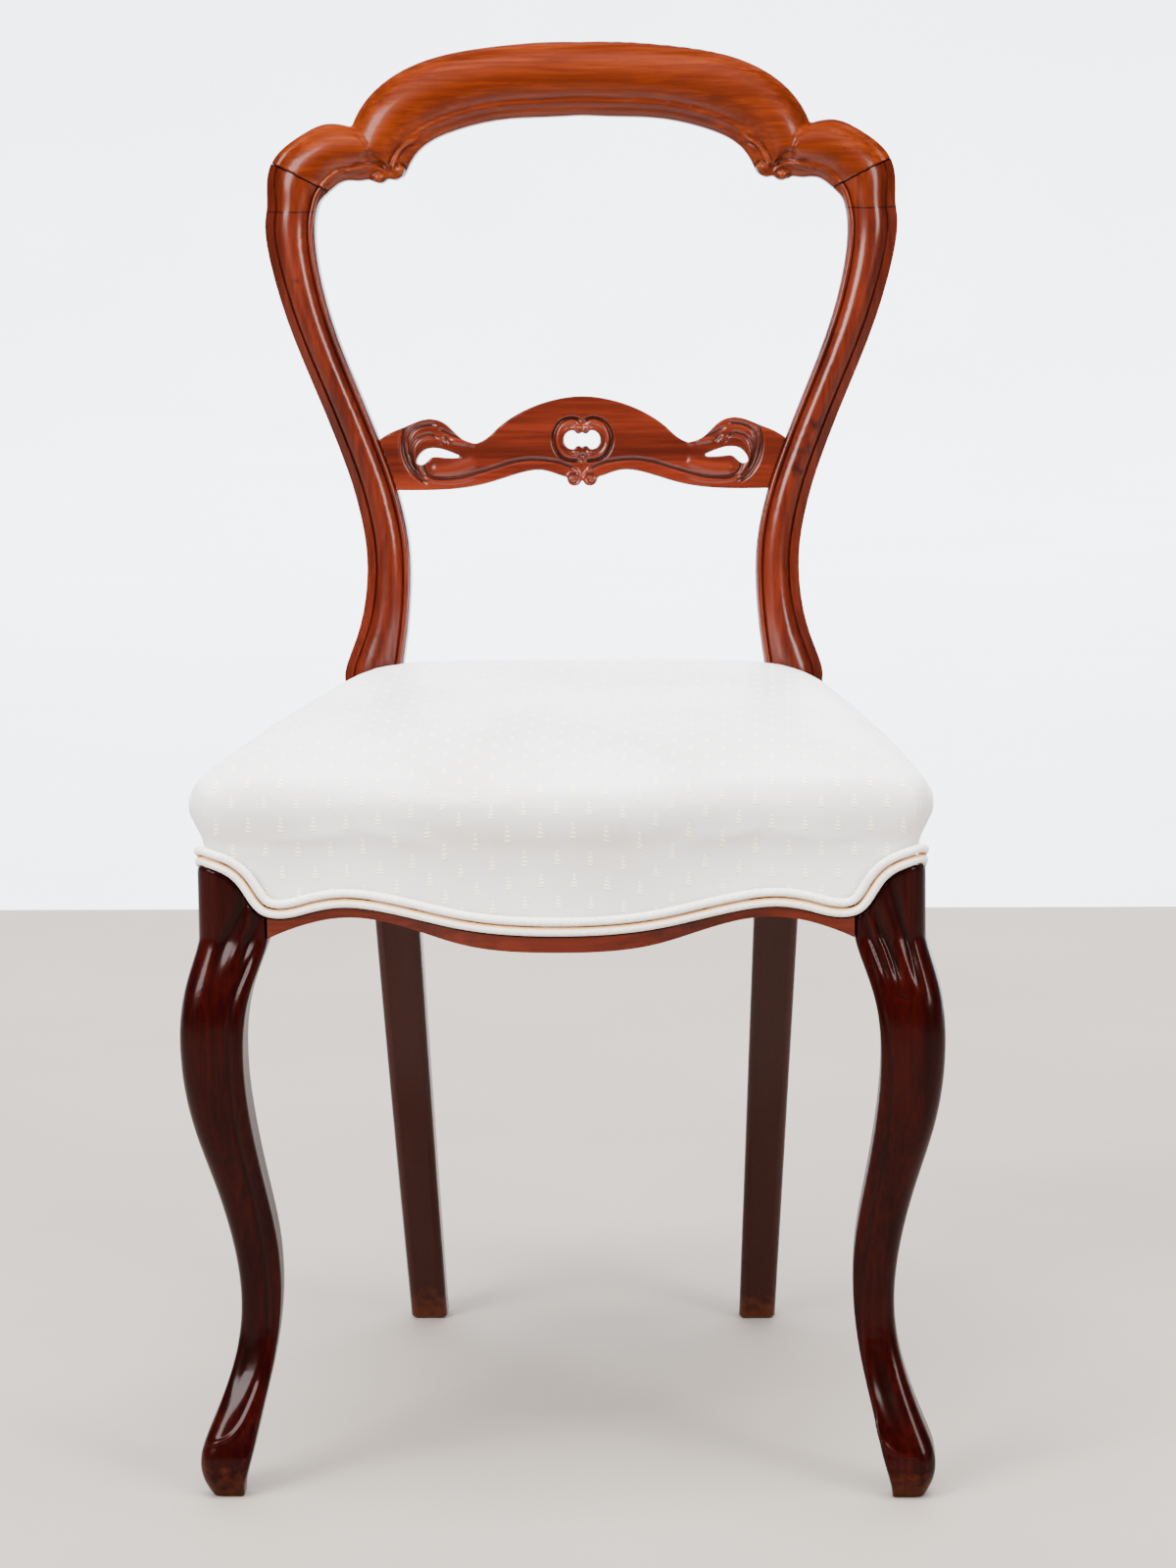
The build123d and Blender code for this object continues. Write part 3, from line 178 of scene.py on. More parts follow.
def put_back(form: BMesh, obj: Object, smooth: bool = True) -> Object:
    """Write a bmesh into an object and free it.

    Args:
        form: The mesh being built.
        obj: The object that gets it.
        smooth: Whether its faces are shaded smooth.

    Returns:
        The same object.
    """
    form.to_mesh(obj.data)
    form.free()
    for polygon in obj.data.polygons:
        polygon.use_smooth = smooth
    return obj


def from_bmesh(form: BMesh, name: str, smooth: bool = True) -> Object:
    """Make an object at the origin from a bmesh, and name it and its mesh."""
    obj = bpy.data.objects.new(name, bpy.data.meshes.new(name))
    bpy.context.scene.collection.objects.link(obj)
    return put_back(form, obj, smooth)


def merged(source: Object) -> BMesh:
    """Copy a construction node's mesh with its loose triangles joined up.

    Args:
        source: The node's object.

    Returns:
        A bmesh with its doubles merged and its triangles paired into quads.
    """
    form = bmesh.new()
    form.from_mesh(source.data)
    bmesh.ops.remove_doubles(form, verts=form.verts, dist=2e-5)
    bmesh.ops.dissolve_degenerate(form, edges=form.edges, dist=1e-6)
    bmesh.ops.join_triangles(
        form, faces=form.faces, angle_face_threshold=0.5, angle_shape_threshold=1.2
    )
    for layer in list(form.loops.layers.uv.values()):
        form.loops.layers.uv.remove(layer)
    return form


def apply_modifiers(obj: Object) -> None:
    """Fix an object's modifiers into its mesh.

    Args:
        obj: The object with modifiers.
    """
    graph = bpy.context.evaluated_depsgraph_get()
    finished = bpy.data.meshes.new_from_object(obj.evaluated_get(graph))
    obj.modifiers.clear()
    old = obj.data
    obj.data = finished
    bpy.data.meshes.remove(old)


def evened(obj: Object, size: float) -> BMesh:
    """Lay a piece out again on an even grid.

    Args:
        obj: The piece.
        size: Width of a square of the grid.

    Returns:
        A bmesh of the new mesh, to work on and put back.
    """
    grid = obj.modifiers.new("even_grid", "REMESH")
    grid.mode = "VOXEL"
    grid.voxel_size = size
    apply_modifiers(obj)
    form = bmesh.new()
    form.from_mesh(obj.data)
    return form


def ease(form: BMesh, times: int, verts: list[bmesh.types.BMVert] | None = None) -> None:
    """Take the steps off a surface by drawing its points towards their neighbours.

    Args:
        form: The mesh.
        times: Number of passes.
        verts: The points that may move, or nothing for all of them.
    """
    for _ in range(times):
        bmesh.ops.smooth_vert(
            form,
            verts=form.verts if verts is None else verts,
            factor=0.5,
            use_axis_x=True,
            use_axis_y=True,
            use_axis_z=True,
        )
    form.normal_update()


def subdivided(obj: Object, levels: int) -> Object:
    """Round a piece with a subdivision surface, the same in view and render.

    Args:
        obj: The piece.
        levels: Number of subdivisions.

    Returns:
        The same piece.
    """
    rounding = obj.modifiers.new("rounding", "SUBSURF")
    rounding.levels = levels
    rounding.render_levels = levels
    return obj


# ---------------------------------------------------------------------- finishes
@dataclass
class Shading:
    """Shader nodes of one material, with a short call for each kind that finishes share."""

    name: str

    def __post_init__(self) -> None:
        """Start the material with its surface shader and each point's place on the chair."""
        self.material = bpy.data.materials.new(self.name)
        self.material.use_nodes = True
        self.tree = self.material.node_tree
        self.tree.nodes.clear()
        self.shader = add_node(self.tree, "BsdfPrincipled")
        add_node(self.tree, "OutputMaterial", {"Surface": self.shader.outputs["BSDF"]})
        self.place = self.node("TexCoord", out="Object")

    def node(self, kind: str, inputs: dict | None = None, out: str | int = 0, **settings: object) -> Socket:
        """Add a node as add_node does, and give the output that is asked for."""
        return add_node(self.tree, kind, inputs, **settings).outputs[out]

    def maths(self, operation: str, *values: Socket | float) -> Socket:
        """Work out one number from others."""
        return self.node("Math", dict(enumerate(values)), operation=operation)

    def fade(self, value: Socket, start: float, end: float, high: float = 1.0, low: float = 0.0) -> Socket:
        """Give low up to the start, high beyond the end, and an even slope between them."""
        limits = {"From Min": start, "From Max": end, "To Min": low, "To Max": high}
        return self.node("MapRange", {"Value": value, **limits})

    def cloud(
        self, place: Socket, scale: float, detail: float, roughness: float = 0.5, distortion: float = 0.0
    ) -> Socket:
        """Cloudy noise between nought and one."""
        form = {"Scale": scale, "Detail": detail, "Roughness": roughness, "Distortion": distortion}
        return self.node("TexNoise", {"Vector": place, **form})

    def scaled(self, place: Socket, scale: Sequence[float], shift: float = 0.0) -> Socket:
        """Scale a place along each axis, and move it by a shift along the first two."""
        return self.node("Mapping", {"Vector": place, "Scale": scale, "Location": (shift, shift, 0.0)})

    def ramp(self, share: Socket, *stops: tuple[float, str]) -> Socket:
        """Colour by a share, from the first stop to the last."""
        return self.node("ValToRGB", {"Fac": share}, stops=stops)

    def over(self, under: Socket, share: Socket, code: str) -> Socket:
        """Lay a colour over another by a share of one."""
        return self.node("Mix", {0: share, 6: under, 7: linear(code)}, 2, data_type="RGBA")

    def bump(self, height: Socket, strength: float, depth_mm: float) -> Socket:
        """Turn a height into the way that the surface faces."""
        return self.node("Bump", {"Height": height, "Strength": strength, "Distance": depth_mm * MM})

    def done(self, inputs: dict) -> Material:
        """Give the surface shader its values and links, and hand the material over."""
        plug(self.tree, self.shader, inputs)
        return self.material


class Grain(Enum):
    """Way in which a board's grain runs, as a mapping scale of long over short."""

    UPRIGHT = (1.0, 1.0, 0.045)
    ACROSS = (0.045, 1.0, 1.0)


@dataclass(frozen=True)
class PolishedMahogany:
    """French polished mahogany: red brown streaks under a thin glassy coat.

    Wide figure and narrow grain lie along the board, dark polish has gathered in the
    carved cuts, painted shade from ambient occlusion darkens the corners and hollows,
    the wood can carry painted shade below the seat, and the feet are scuffed.
    """

    name: str
    deep: str
    body: str
    bright: str
    grain: Grain = Grain.UPRIGHT
    figure_mm: float = 22.0
    grain_mm: float = 2.6
    pore_mm: float = 0.9            # real pores are 0.2 mm, drawn coarser so that they show
    wander_per_m: float = 170.0     # waves in a metre of the noise that makes edges uneven
    roughness: float = 0.33
    coat: float = 0.3
    shine: float = 0.22             # of the stained wood under the clear coat
    painted_shade_below_seat: float = 0.0          # share of painted shade on the wood below the seat, standing in for the seat's shadow
    joint: bool = False
    bruises: tuple[tuple[float, float, float], ...] = ()    # across, up and radius, in mm

    def material(self) -> Material:
        """Build the finish."""
        nodes = Shading(self.name)
        wander = nodes.cloud(nodes.place, self.wander_per_m, 4.0)
        figure = self._run(nodes, self.figure_mm)
        pore = self._run(nodes, self.pore_mm)
        tone = nodes.maths("MULTIPLY_ADD", figure, 0.62, 0.19)
        streak = nodes.maths("MULTIPLY_ADD", self._run(nodes, self.grain_mm), 0.38, tone)
        carving = nodes.node("Attribute", out="Fac", attribute_name="carving")
        # painted shade: ambient occlusion darkens the wood in corners and creases
        painted_occlusion_shade = nodes.node("AmbientOcclusion", {"Distance": 9 * MM}, "AO", samples=6)
        height = nodes.node("SeparateXYZ", {0: nodes.place}, "Z")
        ragged = nodes.maths("MULTIPLY_ADD", wander, 0.05, height)
        layers = [
            (nodes.fade(pore, 0.60, 0.72, 0.42), self.deep),
            (nodes.fade(carving, 0.25, 1.1, 0.55), self.bright),    # proud edges, rubbed pale
            (nodes.fade(carving, -0.2, -1.3, 0.8), "#0D0302"),      # dark wax in the cuts
            (nodes.fade(painted_occlusion_shade, 0.9, 0.35, 0.55), "#0F0403"),       # painted shade in the corners and creases, from ambient occlusion
        ]
        # painted shade: the wood darkens below the seat rails, standing in for the seat's shadow
        if self.painted_shade_below_seat:
            low = nodes.fade(height, RAIL_TOP + 0.02, RAIL_TOP - 0.06, self.painted_shade_below_seat)
            layers.append((low, self.deep))
        layers.append((nodes.fade(ragged, 0.046, 0.028, 0.5), "#4A200C"))   # scuffed feet
        if self.joint:
            layers += [(crack, "#0A0202") for crack in self._joints(nodes, height, wander)]
        layers += [(self._bruise(nodes, wander, bruise), "#070304") for bruise in self.bruises]
        colour = nodes.ramp(streak, (0.44, self.deep), (0.66, self.body), (0.86, self.bright))
        for share, code in layers:
            colour = nodes.over(colour, share, code)
        return nodes.done({
            "Base Color": colour,
            "Roughness": nodes.fade(figure, 0.0, 1.0, self.roughness + 0.09, self.roughness - 0.07),
            "Coat Weight": self.coat,
            "Coat Roughness": 0.16,
            "IOR": 1.52,
            "Specular IOR Level": self.shine,
            "Specular Tint": linear("#F0A898"),
            "Normal": nodes.bump(pore, 0.10, 0.4),
        })

    def _run(self, nodes: Shading, width_mm: float) -> Socket:
        """Noise drawn out along the grain, with streaks of one width."""
        scale = [axis / (width_mm * MM) for axis in self.grain.value]
        return nodes.cloud(nodes.scaled(nodes.place, scale), 1.0, 3.0, 0.55, 0.35)

    @staticmethod
    def _joints(nodes: Shading, height: Socket, wander: Socket) -> tuple[Socket, Socket]:
        """Open the two glued joints of each shoulder by a hair.

        Args:
            nodes: The material's nodes.
            height: How high each point lies.
            wander: Noise that makes a crack uneven.

        Returns:
            Shares that are one in the lower and in the upper joint.
        """
        lower = nodes.maths("COMPARE", height, LOWER_JOINT, 0.4 * MM)
        folded = nodes.node("VectorMath", {0: nodes.place}, operation="ABSOLUTE")
        along = nodes.node("VectorMath", {0: folded, 1: UPPER_JOINT_WAY}, "Value", operation="DOT_PRODUCT")
        shaken = nodes.maths("MULTIPLY_ADD", wander, 2.0 * MM, along)
        return lower, nodes.maths("COMPARE", shaken, UPPER_JOINT + 1.0 * MM, 0.55 * MM)

    @staticmethod
    def _bruise(nodes: Shading, wander: Socket, bruise: tuple[float, float, float]) -> Socket:
        """One dark knock in the polish, broken up by noise.

        Args:
            nodes: The material's nodes.
            wander: Noise that breaks its edge up.
            bruise: Its place across and up, and its radius, in mm.

        Returns:
            How dark each point of it is.
        """
        across, up, radius = (length * MM for length in bruise)
        flat = nodes.scaled(nodes.place, (1.0, 0.0, 1.0))
        away = nodes.node("VectorMath", {0: flat, 1: (across, 0.0, up)}, "Value", operation="DISTANCE")
        torn = nodes.maths("MULTIPLY_ADD", wander, 3.2 * radius, away)
        return nodes.fade(torn, 2.5 * radius, 1.6 * radius, 0.8)


@dataclass(frozen=True)
class PlanedBeech:
    """Planed beech left bare inside the seat: pale pink brown with short dark flecks."""

    name: str = "planed_beech"
    flecks_per_m: tuple[float, float, float] = (60.0, 500.0, 500.0)

    def material(self) -> Material:
        """Build the finish."""
        nodes = Shading(self.name)
        flecks = nodes.cloud(nodes.scaled(nodes.place, self.flecks_per_m), 1.0, 4.0)
        return nodes.done({
            "Base Color": nodes.ramp(flecks, (0.35, "#8A6138"), (0.55, "#B98A56"), (0.75, "#C9A06C")),
            "Roughness": 0.62,
            "Normal": nodes.bump(flecks, 0.2, 0.5),
        })


@dataclass(frozen=True)
class SpottedSatin:
    """Ivory satin woven with a small raised spot: silky ground, matt thread in the spots.

    The spots stand in staggered rows along the cloth, each a stack of short floats.
    """

    name: str = "ivory_spotted_satin"
    across_mm: float = 20.0
    along_mm: float = 26.0
    spot_wide_mm: float = 2.3       # half of a spot's foot
    spot_tall_mm: float = 4.3       # half of its height
    floats: int = 4                 # rows of float in a spot
    thread_mm: float = 0.9          # real threads are 0.3 mm, drawn coarser so that they show
    soil_per_m: float = 9.0
    blur_per_m: float = 220.0
    stain: tuple[float, float, float] = (0.158, -0.128, 0.463)

    def material(self) -> Material:
        """Build the finish."""
        nodes = Shading(self.name)
        cloth = nodes.node("UVMap", out="UV", uv_map="cloth")
        spots = nodes.maths("MAXIMUM", self._spots(nodes, cloth, 0.0), self._spots(nodes, cloth, 0.5))
        thread = self.thread_mm * MM
        weave = nodes.cloud(nodes.scaled(cloth, (1 / (2.2 * thread), 1 / thread, 1.0)), 1.0, 2.0)
        soil = nodes.cloud(cloth, self.soil_per_m, 3.0)
        ground = nodes.ramp(soil, (0.35, "#D1CBC6"), (0.5, "#D9D5D2"), (0.7, "#DEDBD9"))
        soiled = nodes.over(ground, nodes.fade(self._away(nodes), 9 * MM, 3 * MM, 0.4), "#9A7C5C")
        raised = nodes.maths("MULTIPLY_ADD", weave, 0.2, spots)
        return nodes.done({
            "Base Color": nodes.over(soiled, spots, "#FFF6DC"),
            "Roughness": nodes.fade(spots, 0.0, 1.0, 0.8, 0.38),
            "Sheen Weight": 0.2,
            "Sheen Roughness": 0.35,
            "Specular IOR Level": 0.6,
            "Normal": nodes.bump(raised, 0.6, 0.6),
        })

    def _spots(self, nodes: Shading, cloth: Socket, shift: float) -> Socket:
        """One lattice of spots.

        Args:
            nodes: The material's nodes.
            cloth: Place on the cloth, in metres.
            shift: Share of the pitch that the lattice is moved by, both ways.

        Returns:
            One in a spot and nought outside, with the floats as stripes.
        """
        pitch = (1 / (self.across_mm * MM), 1 / (self.along_mm * MM), 1.0)
        cell = nodes.node("VectorMath", {0: nodes.scaled(cloth, pitch, shift)}, operation="FRACTION")
        middle = nodes.node("VectorMath", {0: cell, 1: (0.5, 0.5, 0.0)}, operation="SUBTRACT")
        across = nodes.node("SeparateXYZ", {0: middle}, "X")
        along = nodes.node("SeparateXYZ", {0: middle}, "Y")
        tall = self.spot_tall_mm / self.along_mm
        wide = self.spot_wide_mm / self.across_mm
        edge = nodes.fade(along, -tall, tall, wide / 4, wide)       # a spot narrows towards its top
        spare = nodes.maths("SUBTRACT", edge, nodes.maths("ABSOLUTE", across))
        inside = nodes.fade(spare, -0.01, 0.02)
        within = nodes.fade(nodes.maths("ABSOLUTE", along), tall, tall * 0.88)
        wave = nodes.maths("MULTIPLY", along, self.floats * math.pi / tall)
        slant = nodes.maths("MULTIPLY_ADD", across, 9.0, wave)
        stripe = nodes.fade(nodes.maths("SINE", slant), -0.5, 0.3, low=0.15)
        return nodes.maths("MULTIPLY", nodes.maths("MULTIPLY", inside, within), stripe)

    def _away(self, nodes: Shading) -> Socket:
        """Distance from the faint stain near the seat's right edge, in metres, blurred by noise."""
        away = nodes.node("VectorMath", {0: nodes.place, 1: self.stain}, "Value", operation="DISTANCE")
        return nodes.maths("MULTIPLY_ADD", nodes.cloud(nodes.place, self.blur_per_m, 2.0), 6 * MM, away)


@dataclass(frozen=True)
class CordCloth:
    """Ivory cotton cloth over cord: matt and slightly fluffy, with an ochre seam line."""

    name: str = "ivory_piping_cotton"
    slub_mm: float = 1.6

    def material(self) -> Material:
        """Build the finish."""
        nodes = Shading(self.name)
        slub = nodes.cloud(nodes.place, 1 / (self.slub_mm * MM), 3.0)
        cotton = nodes.ramp(slub, (0.35, "#D3CCC2"), (0.55, "#E4E0DA"), (0.75, "#ECE9E4"))
        seam = nodes.node("Attribute", out="Fac", attribute_name="seam")
        stitched = nodes.maths("MULTIPLY_ADD", slub, 0.5, seam)
        return nodes.done({
            "Base Color": nodes.over(cotton, nodes.fade(stitched, 0.36, 0.62), "#DDA75C"),
            "Roughness": 0.85,
            "Sheen Weight": 0.35,
            "Normal": nodes.bump(slub, 0.5, 0.6),
        })


@dataclass(frozen=True)
class PlainWeave:
    """Jute yarn in a plain weave: dull straw brown, coarse, with uneven yarns."""

    name: str
    yarn_mm: float
    light: str
    dark: str
    age_per_m: float = 35.0

    def material(self) -> Material:
        """Build the finish."""
        nodes = Shading(self.name)
        scale = 1 / (2 * self.yarn_mm * MM * math.pi)       # a wave is close to two yarns long
        wave = {"Scale": scale, "Distortion": 1.2, "Detail": 2.0, "Detail Scale": 2.0}
        warp, weft = (
            nodes.node("TexWave", {"Vector": nodes.place, **wave}, "Fac", bands_direction=way) for way in "XY"
        )
        weave = nodes.maths("MULTIPLY", warp, weft)
        aged = nodes.maths("MULTIPLY_ADD", nodes.cloud(nodes.place, self.age_per_m, 4.0), 0.6, weave)
        return nodes.done({
            "Base Color": nodes.ramp(aged, (0.2, self.dark), (0.85, self.light)),
            "Roughness": 0.9,
            "Normal": nodes.bump(weave, 0.7, 0.8),
        })


@dataclass(frozen=True)
class CurledHair:
    """Curled hair and felt: a matted dark brown mass with lighter fibres."""

    name: str = "curled_hair"
    curls_per_m: float = 260.0

    def material(self) -> Material:
        """Build the finish."""
        nodes = Shading(self.name)
        curls = nodes.cloud(nodes.place, self.curls_per_m, 6.0, distortion=2.5)
        return nodes.done({
            "Base Color": nodes.ramp(curls, (0.35, "#2A1D13"), (0.55, "#5C452E"), (0.75, "#8C7250")),
            "Roughness": 0.95,
            "Normal": nodes.bump(curls, 0.9, 2.0),
        })


@dataclass(frozen=True)
class DrawnSteel:
    """Drawn steel with a thin coat of copper or oil: soft streaks and a few rust marks."""

    name: str
    bright: str
    rust: str
    roughness: float = 0.38
    marks_per_m: float = 180.0

    def material(self) -> Material:
        """Build the finish."""
        nodes = Shading(self.name)
        marks = nodes.cloud(nodes.place, self.marks_per_m, 5.0)
        return nodes.done({
            "Base Color": nodes.ramp(marks, (0.5, self.bright), (0.75, self.rust)),
            "Roughness": nodes.fade(marks, 0.0, 1.0, self.roughness + 0.3, self.roughness - 0.1),
            "Metallic": 1.0,
        })


@dataclass(frozen=True)
class StudioPaper:
    """Matt background paper: nearly even, with the faintest mottling."""

    name: str
    light: str
    dark: str
    mottle_per_m: float = 3.0

    def material(self) -> Material:
        """Build the finish."""
        nodes = Shading(self.name)
        mottle = nodes.cloud(nodes.place, self.mottle_per_m, 2.0)
        colour = nodes.ramp(mottle, (0.3, self.dark), (0.7, self.light))
        return nodes.done({"Base Color": colour, "Roughness": 0.75})


# ------------------------------------------------------------------------ studio
@dataclass
class Studio:
    """Pale floor and background, soft lights, and the camera at the photograph's place."""

    turn: float = math.radians(2.426)
    tilt: float = math.radians(10.438)
    roll: float = math.radians(-0.659)
    place: tuple[float, float, float] = (0.1571, -3.4903, 1.0584)   # of the camera
    lens_mm: float = 126.0
    sensor_mm: float = 36.0
    half_width: float = 6.0
    floor_end: float = 1.6          # the white paper begins here
    sweep_start: float = 5.6        # far enough to leave room for views from behind
    sweep_radius: float = 0.8
    sweep_steps: int = 12
    sweep_top: float = 5.0

    def build(self) -> None:
        """Set the whole studio up."""
        self._camera()
        self._background()
        self._lights()

    def _camera(self) -> None:
        """Place the camera that the photograph was fitted with."""
        data = bpy.data.cameras.new("camera")
        data.lens = self.lens_mm
        data.sensor_width = self.sensor_mm
        data.sensor_fit = "AUTO"
        data.clip_end = 50.0
        camera = bpy.data.objects.new("camera", data)
        camera.matrix_world = (
            Matrix.Translation(self.place)
            @ Matrix.Rotation(self.turn, 4, "Z")
            @ Matrix.Rotation(math.pi / 2 - self.tilt, 4, "X")
            @ Matrix.Rotation(self.roll, 4, "Z")
        )
        bpy.context.scene.collection.objects.link(camera)
        bpy.context.scene.camera = camera

    def _background(self) -> None:
        """Lay the floor, and behind it white paper that runs back and then curves up."""
        form = bmesh.new()
        bmesh.ops.create_grid(form, x_segments=2, y_segments=2, size=self.half_width)
        for vertex in form.verts:
            vertex.co.y = min(vertex.co.y, self.floor_end)
        floor = from_bmesh(form, "studio_floor", smooth=False)
        dress(StudioPaper("pale_floor_paper", "#8E857B", "#877E75").material(), floor)
        form = bmesh.new()
        bend = self.sweep_radius
        sweep = [(self.floor_end, 0.0)]
        for i in range(self.sweep_steps + 1):
            angle = math.pi / 2 * i / self.sweep_steps
            sweep.append((self.sweep_start + bend * math.sin(angle), bend - bend * math.cos(angle)))
        sweep.append((self.sweep_start + bend, self.sweep_top))
        sides = (-self.half_width, self.half_width)
        rows = [[form.verts.new((x, y, z)) for x in sides] for y, z in sweep]
        for near, far in zip(rows, rows[1:]):
            form.faces.new((near[0], near[1], far[1], far[0]))
        paper = from_bmesh(form, "studio_sweep")
        dress(StudioPaper("white_sweep_paper", "#EEF0F5", "#E8EBF1").material(), paper)

    def _lights(self) -> None:
        """Hang four soft boxes and an even sky."""
        seat = (0, 0, 0.5)
        boxes = (
            ("window", (-2.2, -2.4, 2.3), seat, (1.7, 1.9), 335.0, "#FFFFFF"),
            ("window_right", (2.4, -2.2, 1.9), seat, (1.0, 1.8), 160.0, "#FFFDFA"),
            ("ceiling", (0.0, -0.6, 3.0), seat, (2.6, 1.6), 390.0, "#F8FAFF"),
            ("sweep_light", (0.0, 4.2, 3.4), (0, 4.4, 0), (7.0, 4.0), 1200.0, "#F8FAFF"),
        )
        for name, place, target, size, power, colour in boxes:
            data = bpy.data.lights.new(name, "AREA")
            data.shape = "RECTANGLE"
            data.size, data.size_y = size
            data.energy = power
            data.color = linear(colour)[:3]
            lamp = bpy.data.objects.new(name, data)
            aim = Vector(target) - Vector(place)
            lamp.matrix_world = Matrix.Translation(place) @ aim.to_track_quat("-Z", "Y").to_matrix().to_4x4()
            lamp.visible_glossy = name.startswith("window")     # polish mirrors the windows only
            bpy.context.scene.collection.objects.link(lamp)
        world = bpy.data.worlds.new("even_sky")
        world.use_nodes = True
        background = world.node_tree.nodes["Background"]
        background.inputs["Color"].default_value = linear("#EDF2FA")
        background.inputs["Strength"].default_value = 0.15
        bpy.context.scene.world = world


# ---------------------------------------------------------------------- carving
@dataclass(frozen=True)
class Stroke:
    """One stroke of a carving tool, as it lies seen from the front.

    A height over nought leaves wood standing proud, and one under it cuts in.
    """

    line: tuple[tuple[float, float], ...]   # across and up, in mm
    reach_mm: float                         # from the stroke's middle to its edge
    height_mm: float
    run_out_mm: float = 4.0                 # length over which it fades at each end
    stub: float = 0.15                      # share of the height that is left at the very end
    step_mm: float = 0.5

    def strength(self, path: Sequence[Vector]) -> list[float]:
        """Share of the full height at each point of the stroke's path.

        Args:
            path: The points from end to end.

        Returns:
            A share for each point, which falls towards both ends of a long stroke.
        """
        if len(path) == 1:
            return [1.0]
        reached = [0.0]
        for near, far in zip(path, path[1:]):
            reached.append(reached[-1] + (far - near).length)
        shares = []
        for length in reached:
            end = min(length, reached[-1] - length) / (self.run_out_mm * MM)
            share = min(1.0, self.stub + (1 - self.stub) * end)
            shares.append(share * share * (3 - 2 * share))
        return shares

    def path(self) -> list[Vector]:
        """Follow the line smoothly.

        Returns:
            Points at most a step apart, in metres, on the plane Y = 0.
        """
        marks = [Vector((across * MM, 0.0, up * MM)) for across, up in self.line]
        if len(marks) == 1:
            return marks
        rows = [2 * marks[0] - marks[1], *marks, 2 * marks[-1] - marks[-2]]
        points = []
        for a, b, c, d in zip(rows, rows[1:], rows[2:], rows[3:]):
            count = max(1, math.ceil((c - b).length / (self.step_mm * MM)))
            for i in range(count):
                t = i / count
                bend = (2 * a - 5 * b + 4 * c - d) * t * t + (3 * b - a - 3 * c + d) * t**3
                points.append(b + 0.5 * ((c - a) * t + bend))
        points.append(marks[-1])
        return points

    def flipped(self, middle: float) -> "Stroke":
        """The same stroke on the other side of an upright line."""
        return replace(self, line=tuple((2 * middle - across, up) for across, up in self.line))


def winding(
    middle: tuple[float, float], outer: float, inner: float, turns: float, start: float = 0.0
) -> tuple[tuple[float, float], ...]:
    """Wind a spiral inwards, or a ring where both radii are the same.

    Args:
        middle: Its middle, across and up, in mm.
        outer: Radius at its start, in mm.
        inner: Radius at its end, in mm.
        turns: Number of turns, over nought anticlockwise as seen from the front.
        start: Angle that it starts at, in turns from the right.

    Returns:
        Points along it.
    """
    count = math.ceil(abs(turns) * WINDING_POINTS)
    points = []
    for i in range(count + 1):
        share = i / count
        radius = outer + (inner - outer) * share
        angle = math.tau * (start + turns * share)
        points.append((middle[0] + radius * math.cos(angle), middle[1] + radius * math.sin(angle)))
    return tuple(points)


def both_sides(right: tuple[Stroke, ...], middle: float = 0.0) -> tuple[Stroke, ...]:
    """Repeat the strokes of the right side on the left, about a middle line in mm."""
    return right + tuple(stroke.flipped(middle) for stroke in right)


@dataclass
class CarvedPiece:
    """A piece of the frame laid out again on a fine grid, and then carved."""

    node: Object
    strokes: tuple[Stroke, ...]
    grid_mm: float
    square_on: float = -0.25        # faces that look forward by more than this are carved,
    square_full: float = 0.3        # and at full depth where it is this much more
    mends: tuple[tuple[float, float, float], ...] = ()      # pockets: across, up, reach, in mm
    mend_back: float = 0.6          # faces that look back by more than this aren't mended
    mend_passes: int = 100

    def build(self, material: Material) -> None:
        """Make the piece in place of its node.

        Args:
            material: Its finish.
        """
        source = self.node.name
        piece = from_bmesh(merged(self.node), f"{source}_carved")
        form = evened(piece, self.grid_mm * MM)
        ease(form, 2)
        self._mend(form)
        self._cut(form)
        ease(form, 1)
        dress(material, put_back(form, piece))
        link(piece, source)

    def _mend(self, form: BMesh) -> None:
        """Close the pockets where two mouldings run into each other.

        Args:
            form: The piece.
        """
        for across, up, reach in self.mends:
            pocket = [
                vertex
                for vertex in form.verts
                if vertex.normal.y < self.mend_back
                and math.hypot(vertex.co.x - across * MM, vertex.co.z - up * MM) < reach * MM
            ]
            ease(form, self.mend_passes, pocket)

    def _cut(self, form: BMesh) -> None:
        """Carve every stroke and write down how deep each point was cut, in mm.

        Args:
            form: The piece.
        """
        record = form.verts.layers.float.new("carving")
        facing = [vertex for vertex in form.verts if vertex.normal.y < self.square_on]
        moves = [0.0] * len(facing)
        for stroke in self.strokes:
            path = stroke.path()
            strength = stroke.strength(path)
            near = KDTree(len(path))
            for i, point in enumerate(path):
                near.insert(point, i)
            near.balance()
            reach = stroke.reach_mm * MM
            left, right = min(p.x for p in path) - reach, max(p.x for p in path) + reach
            low, high = min(p.z for p in path) - reach, max(p.z for p in path) + reach
            for i, vertex in enumerate(facing):
                x, _, z = vertex.co
                if left < x < right and low < z < high:
                    _, closest, distance = near.find((x, 0.0, z))
                    share = distance / reach
                    if share < 1:
                        moves[i] += stroke.height_mm * strength[closest] * (1 - share * share) ** 2
        for vertex, move in zip(facing, moves):
            square = min(1.0, (self.square_on - vertex.normal.y) / self.square_full)
            vertex[record] = move * square
            vertex.co += vertex.normal * (move * square * MM)


